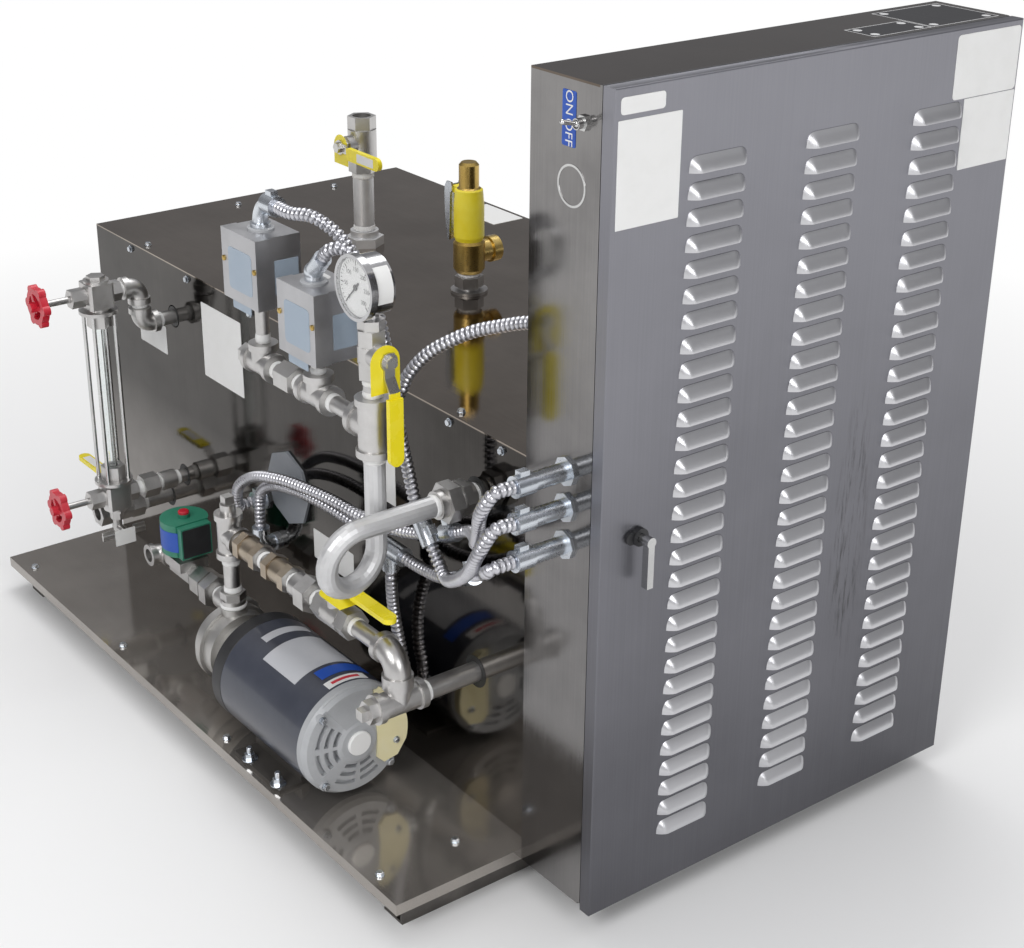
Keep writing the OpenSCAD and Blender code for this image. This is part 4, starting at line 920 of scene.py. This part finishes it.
front_plates = [("badge_plate", 401, 503, (117, 117)), ("port_plate", 177, 462, (89, 46)),
                ("pump_plate", 693, 283, (104, 46)), ("notice_sticker", 835, 453, (37, 63))]
for name, u, z, size in front_plates:
    flat_plate(name, "base", at(u, 0, z), X, Z, size, label_white)
door_plates = [("manual_plate", -178.5, 1037, (60, 18), 4), ("door_notice", -168, 965, (87, 115), 1),
               ("corner_notice_upper", 360, 1011, (113, 76), 5),
               ("corner_notice_lower", 371.5, 929, (91, 86), 1)]
for name, y, z, size, radius in door_plates:
    flat_plate(name, "door", Vector((door_face, y * MM, z * MM)), Y, Z, size, label_white, radius)


def on_level(u, v, height):
    """A place on a level face at a height in metres."""
    return Vector((at(u, 0, 0).x, at(0, v, 0).y, height))


flat_plate("cover_notice", "base", on_level(330, 545, cover_top), X, Y, (100, 60), label_white)

# %% [markdown]
# Pipes go through the housing by holes larger than they are, and each shows as a dark ring round its pipe.
# The housing is a closed block, so a thin black ring on its face is painted shade in place of the hole.

# %% Holes round the pipes
pipe_ends = ((1033, 511, 21), (1030, 256, 22), (250, 244, 17), (190, 188, 20), (250, 511, 16))
ring_in = 8
holes = Shapes()
for u, z, radius in pipe_ends:
    holes.lathe(at(u, 0, z), -Y, [(-0.5, ring_in), (0.3, ring_in), (0.3, radius), (-0.5, radius)], 40, True)
# Painted shade: the black ring stands for the shaded hole.
holes.piece("pipe_holes", "base", ink_and_shade_black)

# %% [markdown]
# The motor's plates are bent round its shell. A flat plate would sink into it, so each is a patch of a
# slightly larger cylinder. The angle runs up from the front, with the top of the motor at ninety degrees. A
# dark band goes round the shell's pump end.

# %% Plates on the motor
motor_low, motor_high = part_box("motor_shell")
motor_v, motor_z = -120, 145
motor_r = (motor_high.z - motor_low.z) / 2 / MM


def bent_plate(name, u0, u1, start, end, material, centre=(motor_v, motor_z), radius=motor_r, axis_u=None):
    """A plate on a round body: along the deck, or upright where axis_u is given and u0 and u1 are heights."""
    plate = Shapes()
    rings = []
    steps = 20
    for k in range(steps + 1):
        angle = math.radians(start + (end - start) * k / steps)
        ring = []
        for reach, low in ((radius - 0.2, u0), (radius + 0.5, u0), (radius + 0.5, u1), (radius - 0.2, u1)):
            side, rise = -math.cos(angle) * reach, math.sin(angle) * reach
            if axis_u is None:
                ring.append(at(low, centre[0] + side, centre[1] + rise))
            else:
                ring.append(at(axis_u + rise, centre[0] + side, low))
        rings.append(ring)
    plate.skin(rings, False)
    return plate.piece(name, "base", material, 50)


bent_plate("motor_strip", 737, 752, 70, 122, label_silver)
bent_plate("motor_plate", 773, 855, 55, 124, label_silver)
bent_plate("motor_blue_plate", 862, 883, 75, 130, label_blue)
bent_plate("motor_white_plate", 892, 907, 72, 116, label_white)
bent_plate("motor_red_mark", 897, 902, 78, 108, label_red, radius=motor_r + 0.4)
band = Shapes()
band.lathe(Vector((motor_low.x, at(0, motor_v, 0).y, motor_z * MM)), X,
           [(1, motor_r - 2), (1, motor_r - 0.4), (2, motor_r + 0.6), (24, motor_r + 0.6),
            (25, motor_r - 0.4)], 72, True)
band.piece("motor_band", "base", black_plastic)

# %% [markdown]
# A white cap closes the bearing at the end of the motor, and the sheets and the motor are bolted down. A
# bolt head is two turned shapes: a round washer, and a hexagon, which is a turned shape with only six
# steps.

# %% Bell cap, bolts and studs
bell_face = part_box("motor_end_bell")[1].x
cap = Shapes()
cap.lathe(Vector((bell_face, at(0, motor_v, 0).y, motor_z * MM)), X,
          [(0, 17.5), (2.5, 17.5), (4, 16), (4.2, 0.1)], 40)
cap.piece("bell_cap", "base", label_white)


def add_hex_head(shapes, place, axis, flats, height, washer=1.4):
    """A hexagon head with a domed top on a round washer."""
    shapes.lathe(place, axis, [(0, flats * washer / 2), (1.2, flats * washer / 2), (1.2, 0.1)], 20)
    corner = flats / 2 / math.cos(math.pi / 6)
    shapes.lathe(place + axis * 1.2 * MM, axis,
                 [(0, corner), (height - 0.6, corner), (height, 0.85 * corner), (height, 0.1)], 6)


lug_turns, lug_circle, lug_back = (135, 225, 315), 71.5, 5 * MM
terminal_screws = ((-73, 190), (-62, 128))
stud_us, stud_v, foot_z, stud_z = (770, 845), -193, 61, 70
screw_us, screw_z = (120, 303, 490, 680, 870, 976, 1083), 585
cover_screws = ((150, 15), (420, 15), (700, 15), (980, 15), (40, 238), (40, 426))
deck_bolts = ((1086, -74), (700, -190), (1086, -190), (60, -190), (380, -190))
bolts = Shapes()
for turn in lug_turns:
    angle = math.radians(turn)
    place = at(0, motor_v + lug_circle * math.cos(angle), motor_z + lug_circle * math.sin(angle))
    add_hex_head(bolts, Vector((bell_face - lug_back, place.y, place.z)), X, 8, 4)
for v, z in terminal_screws:
    add_hex_head(bolts, Vector((bell_face, at(0, v, 0).y, z * MM)), X, 7, 3)
for u in stud_us:
    add_hex_head(bolts, at(u, stud_v, foot_z), Z, 13, 8, 1.7)
    bolts.lathe(at(u, stud_v, stud_z), Z, [(0, 4), (9, 4), (10, 3.4), (10, 0.1)], 16)
for u in screw_us:
    add_hex_head(bolts, at(u, 0, screw_z), -Y, 8, 3.5)
for u, v in cover_screws:
    add_hex_head(bolts, on_level(u, v, cover_top), Z, 8, 3.5)
for u, v in deck_bolts:
    add_hex_head(bolts, on_level(u, v, deck_high.z), Z, 9, 4)
bolts.piece("bolts", "base", zinc, 30)

# %% [markdown]
# A switch says which way is on, and a dial has numbers. They could be an image, but an outline stays sharp
# from any distance, so each word is a flat outline from Blender's own font, turned into the plane it is
# printed on.

# %% Lettering
def lettering(name, body, words, material):
    printed = Shapes()
    for word, place, right, up, size in words:
        outline = bpy.data.curves.new(name, "FONT")
        outline.body = word
        outline.size = size
        outline.align_x = "CENTER"
        outline.align_y = "CENTER"
        holder = bpy.data.objects.new(name, outline)
        flat = bpy.data.meshes.new_from_object(holder)
        printed.add([place + (right * p.co.x + up * p.co.y) * MM for p in flat.vertices],
                    [list(face.vertices) for face in flat.polygons])
        bpy.data.objects.remove(holder)
        bpy.data.meshes.remove(flat)
    return printed.piece(name, body, material)


side_y = side_low.y
print_y = side_y - 0.0008
switch_x, switch_z = 0.5595, 1.0125
word_heights = (("ON", 1.029), ("OFF", 0.998))
word_size = 17
ring_x, ring_z = 0.5655, 0.942
flat_plate("switch_plate", "base", Vector((switch_x, side_y, switch_z)), X, Z, (22, 59), label_blue)
lettering("switch_words", "base",
          [(word, Vector((switch_x, print_y, z)), -Z, X, word_size) for word, z in word_heights],
          label_white)
knockout = Shapes()
knockout.lathe(Vector((ring_x, side_y, ring_z)), -Y,
               [(-0.5, 23.5), (0.5, 23.3), (0.5, 20.8), (-0.5, 20.6)], 40, True)
knockout.piece("knockout_ring", "base", bright_steel)

# %% [markdown]
# The pressure gauge's case is a solid with a shallow recess. A picture could fill it, but real depth gives
# the pointer its shadow, so the card, its marks, a pointer and a glass go into the recess. The numbers are
# plain ones that any gauge of this kind could carry.

# %% Dial
dial_u, dial_v, dial_z = 1004, -147, 797
first_turn, sweep, divisions, long_every = 225, 270, 30, 5
number_r, number_size = 21, 7.5
dial_numbers = ((0, 225), (50, 180), (100, 135), (150, 90), (200, 45), (250, 0), (300, -45))


def dial_way(turn):
    """The direction on the dial at a turn in degrees from its right."""
    angle = math.radians(turn)
    return X * math.cos(angle) + Z * math.sin(angle)


card = Shapes()
card.slab(at(dial_u, dial_v, dial_z), X, Z, circle(34.5), 0.6)
card.piece("dial_card", "base", label_white)
marks = Shapes()
for step in range(divisions + 1):
    across = dial_way(first_turn - sweep * step / divisions)
    reach, width, length = (30.5, 0.7, 3) if step % long_every else (29, 1.2, 6)
    marks.slab(at(dial_u, dial_v - 0.7, dial_z) + across * reach * MM, -Y.cross(across), across,
               rounded(width, length, 0.1, 1), 0.2)
pointer_way = dial_way(first_turn)
marks.slab(at(dial_u, dial_v - 1.6, dial_z), -Y.cross(pointer_way), pointer_way,
           [(-1.4, -9), (1.4, -9), (0.5, 27), (-0.5, 27)], 0.4)
marks.lathe(at(dial_u, dial_v - 1.4, dial_z), -Y, [(0, 3.5), (1.2, 3.5), (1.6, 2.8), (1.6, 0.1)], 20)
marks.piece("dial_marks", "base", ink_and_shade_black)
lettering("dial_numbers", "base",
          [(str(number), at(dial_u, dial_v - 0.75, dial_z) + dial_way(turn) * number_r * MM, X, Z,
            number_size) for number, turn in dial_numbers], ink_and_shade_black)
case_patch = Shapes()
case_r, case_front, case_back = 36, 5, 26
patch_top, patch_step, patch_count = 50, 6, 12
patch_corners = ((case_front, case_r - 0.3), (case_front, case_r + 0.4),
                 (case_back, case_r + 0.4), (case_back, case_r - 0.3))
patch_rings = []
for k in range(patch_count + 1):
    across = dial_way(patch_top - patch_step * k)
    patch_rings.append([at(dial_u, dial_v + v, dial_z) + across * r * MM for v, r in patch_corners])
case_patch.skin(patch_rings, False)
case_patch.piece("dial_sticker", "base", label_white)
window = Shapes()
window.slab(at(dial_u, dial_v - 3.4, dial_z), X, Z, circle(34.8), 1.0)
window.piece("dial_glass", "base", clear_pane)

# %% [markdown]
# The two pressure controls carry the same fittings, each at its own height: plain labels on the front, the
# side and the foot, brass screws, and a grey hub under the conduit. One loop makes both sets, so that they
# stay alike.

# %% Pressure controls
controls = ((753, 708, -124), (884, 676, -130))
control_v = -157
control_plates = (("label", 2, control_v, 42, X, (56, 54), 6, 0.5),
                  ("tag", 39, -113, 38, Y, (34, 44), 1, 0.5),
                  ("strip", -4, -153, -5, X, (44, 14), 1, 1.0))
screw_sides, screw_rise, hub_rise = (-37, 37), 50, 90
screw_profile = [(0, 3.6), (1.5, 3.6), (2.2, 2.6), (2.2, 0.1)]
hub_profile = [(0, 17), (3, 17), (4, 15.5), (4, 0.1)]
control_screws = Shapes()
hub_rings = Shapes()
for number, (u, low, hub_v) in enumerate(controls, 1):
    for kind, shift, v, rise, right, size, radius, thickness in control_plates:
        flat_plate("control_%s_%d" % (kind, number), "base", at(u + shift, v, low + rise), right, Z, size,
                   label_pale, radius, thickness)
    for side in screw_sides:
        control_screws.lathe(at(u + side, control_v, low + screw_rise), -Y, screw_profile, 16)
    hub_rings.lathe(at(u, hub_v, low + hub_rise), Z, hub_profile, 28)
control_screws.piece("control_screws", "base", brass)
hub_rings.piece("control_hubs", "base", bell_grey)
flat_plate("control_sticker", "base", at(866, -112, 766), X, Y, (34, 20), label_white, 9, 0.4)

# %% [markdown]
# The coil on the inlet valve has a red button on top, a blue plate bent round its front and a dark flat
# side. The plate uses the motor's helper, stood upright.

# %% Coil
coil_v, coil_u, coil_r = -90, 415.5, 36
button = Shapes()
button.lathe(at(coil_u, coil_v, 267), Z, [(-0.5, 8.5), (3, 8.5), (4.5, 7), (4.8, 0.1)], 28)
button.piece("coil_button", "base", red_enamel)
bent_plate("coil_plate", 218, 250, -52, 46, label_blue, (coil_v, 0), coil_r, coil_u)
flat_plate("coil_side", "base", at(coil_u + coil_r + 1, coil_v, 234), Y, Z, (46, 46), black_plastic, 2, 0.5)

# %% [markdown]
# Three ball valves wear a yellow tag, threaded on the stem between the body and the lever. All three are
# the same arch, cut from one outline, and only their place and their way round differ. A paper tag hangs on
# the drain cock, and two levers carry a pale sticker that turns with them.

# %% Tags
def arch(width, height, shift=0.0):
    """An arch about the stem: a half circle above and a tongue below."""
    half = width / 2
    turns = [math.radians(turn) for turn in range(0, 181, 12)]
    top = [(half * math.cos(turn) + shift, half * math.sin(turn)) for turn in turns]
    return top + [(shift - half, half - height), (shift + half, half - height)]


tags = Shapes()
tags.slab(at(1037.15, -129, 714), Y, Z, arch(40, 58, -4), 0.6, 0.1)
tags.slab(at(343, 252.85, 756), X, Z, arch(38, 46), 0.6, 0.1)
tags.slab(at(897, -120, 353.15), -Y, X, [(x, -y) for x, y in arch(38, 62, 6)][::-1], 0.6, 0.1)
tags.piece("valve_tags", "base", yellow_vinyl)
cock_handle_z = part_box("gauge_drain_cock")[0].z / MM + 18
cock_end_u, cock_v, paper_drop = 273.9, -122, 7
paper = Shapes()
paper.slab(at(cock_end_u, cock_v, cock_handle_z - paper_drop), Y, Z, rounded(34, 26, 1), 0.5)
paper.piece("paper_tag", "base", label_white)
sticker_size = (44, 13)
steam_place = Vector((-0.222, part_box("steam_lever")[0].y, 0.756))
drain_place = Vector((-0.553, -0.292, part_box("drain_lever")[1].z))
flat_plate("steam_lever_sticker", "steam_handle", steam_place, X, Z, sticker_size, label_white, 1, 0.3)
flat_plate("drain_lever_sticker", "drain_handle", drain_place, X, Y, sticker_size, label_white, 1, 0.3)

# %% [markdown]
# Soft boxes stand where a photographer's would: one by the camera, a smaller one for the door and a wide
# one overhead. The world could be one even grey, but polished metal looks like metal only where light and
# dark meet in it, so the world is a studio with dim walls and a pale ceiling.

# %% Light
def soft_box(name, place, target, size, power):
    lamp = bpy.data.objects.new(name, bpy.data.lights.new(name, "AREA"))
    lamp.data.size = size
    lamp.data.energy = power
    lamp.location = place
    lamp.rotation_euler = (Vector(target) - Vector(place)).to_track_quat("-Z", "Y").to_euler()
    bpy.context.scene.collection.objects.link(lamp)


soft_box("key", (1.6, -3.4, 3.0), (0, -0.1, 0.5), 1.8, 70)
soft_box("door_light", (4.0, -0.6, 2.0), (0.6, 0.1, 0.5), 1.6, 45)
soft_box("top_light", (-0.8, 0.6, 3.6), (0, 0, 0.5), 2.2, 45)

world = bpy.data.worlds.new("studio")
bpy.context.scene.world = world
world.use_nodes = True
sky = Nodes(world.node_tree)
background = world.node_tree.nodes["Background"]
wall, ceiling = (0.45, (0.26, 0.26, 0.27)), (0.80, (0.78, 0.78, 0.79))
rise = sky.node("SeparateXYZ", None, {"Vector": sky.node("TexCoord")["Generated"]})["Z"]
shade = sky.node("ValToRGB", {"stops": (wall, ceiling)}, {"Fac": rise})["Color"]
sky.feed(background.inputs["Color"], shade)
sky.feed(background.inputs["Strength"], 0.9)
print("studio light")

# %% [markdown]
# The floor is pale and runs out of sight. Near the machine it is a plain matt floor that takes its shadow.
# Farther off it turns white for the camera, for mirrors and through glass, and stays plain for the light
# that falls.

# %% Floor
floor_reach = 30
floor_grey, floor_white, none = (0.86, 0.86, 0.86), (0.97, 0.97, 0.97), (0, 0, 0)
white_from, white_full = 0.9, 2.4
floor_mesh = bpy.data.meshes.new("floor")
floor_mesh.from_pydata([(-floor_reach, -floor_reach, 0), (floor_reach, -floor_reach, 0),
                        (floor_reach, floor_reach, 0), (-floor_reach, floor_reach, 0)], [], [(0, 1, 2, 3)])
floor = bpy.data.objects.new("floor", floor_mesh)
bpy.context.scene.collection.objects.link(floor)
pale = Finish("floor_pale", {"Roughness": 0.7, "Emission Strength": 1.0})
rays = pale.node("LightPath")
seen = rays["Is Camera Ray"] + rays["Is Glossy Ray"] + rays["Is Transmission Ray"] > 0.5
away = pale.node("VectorMath", {"operation": "LENGTH"}, {0: pale.where()})["Value"]
backdrop = pale.ramp(away, white_from, white_full) * seen
pale.set(Base_Color=pale.mix(backdrop, floor_grey, none),
         Emission_Color=pale.mix(backdrop, none, floor_white))
floor_mesh.materials.append(pale.material)
bpy.context.scene.view_settings.view_transform = "Standard"
print("floor")
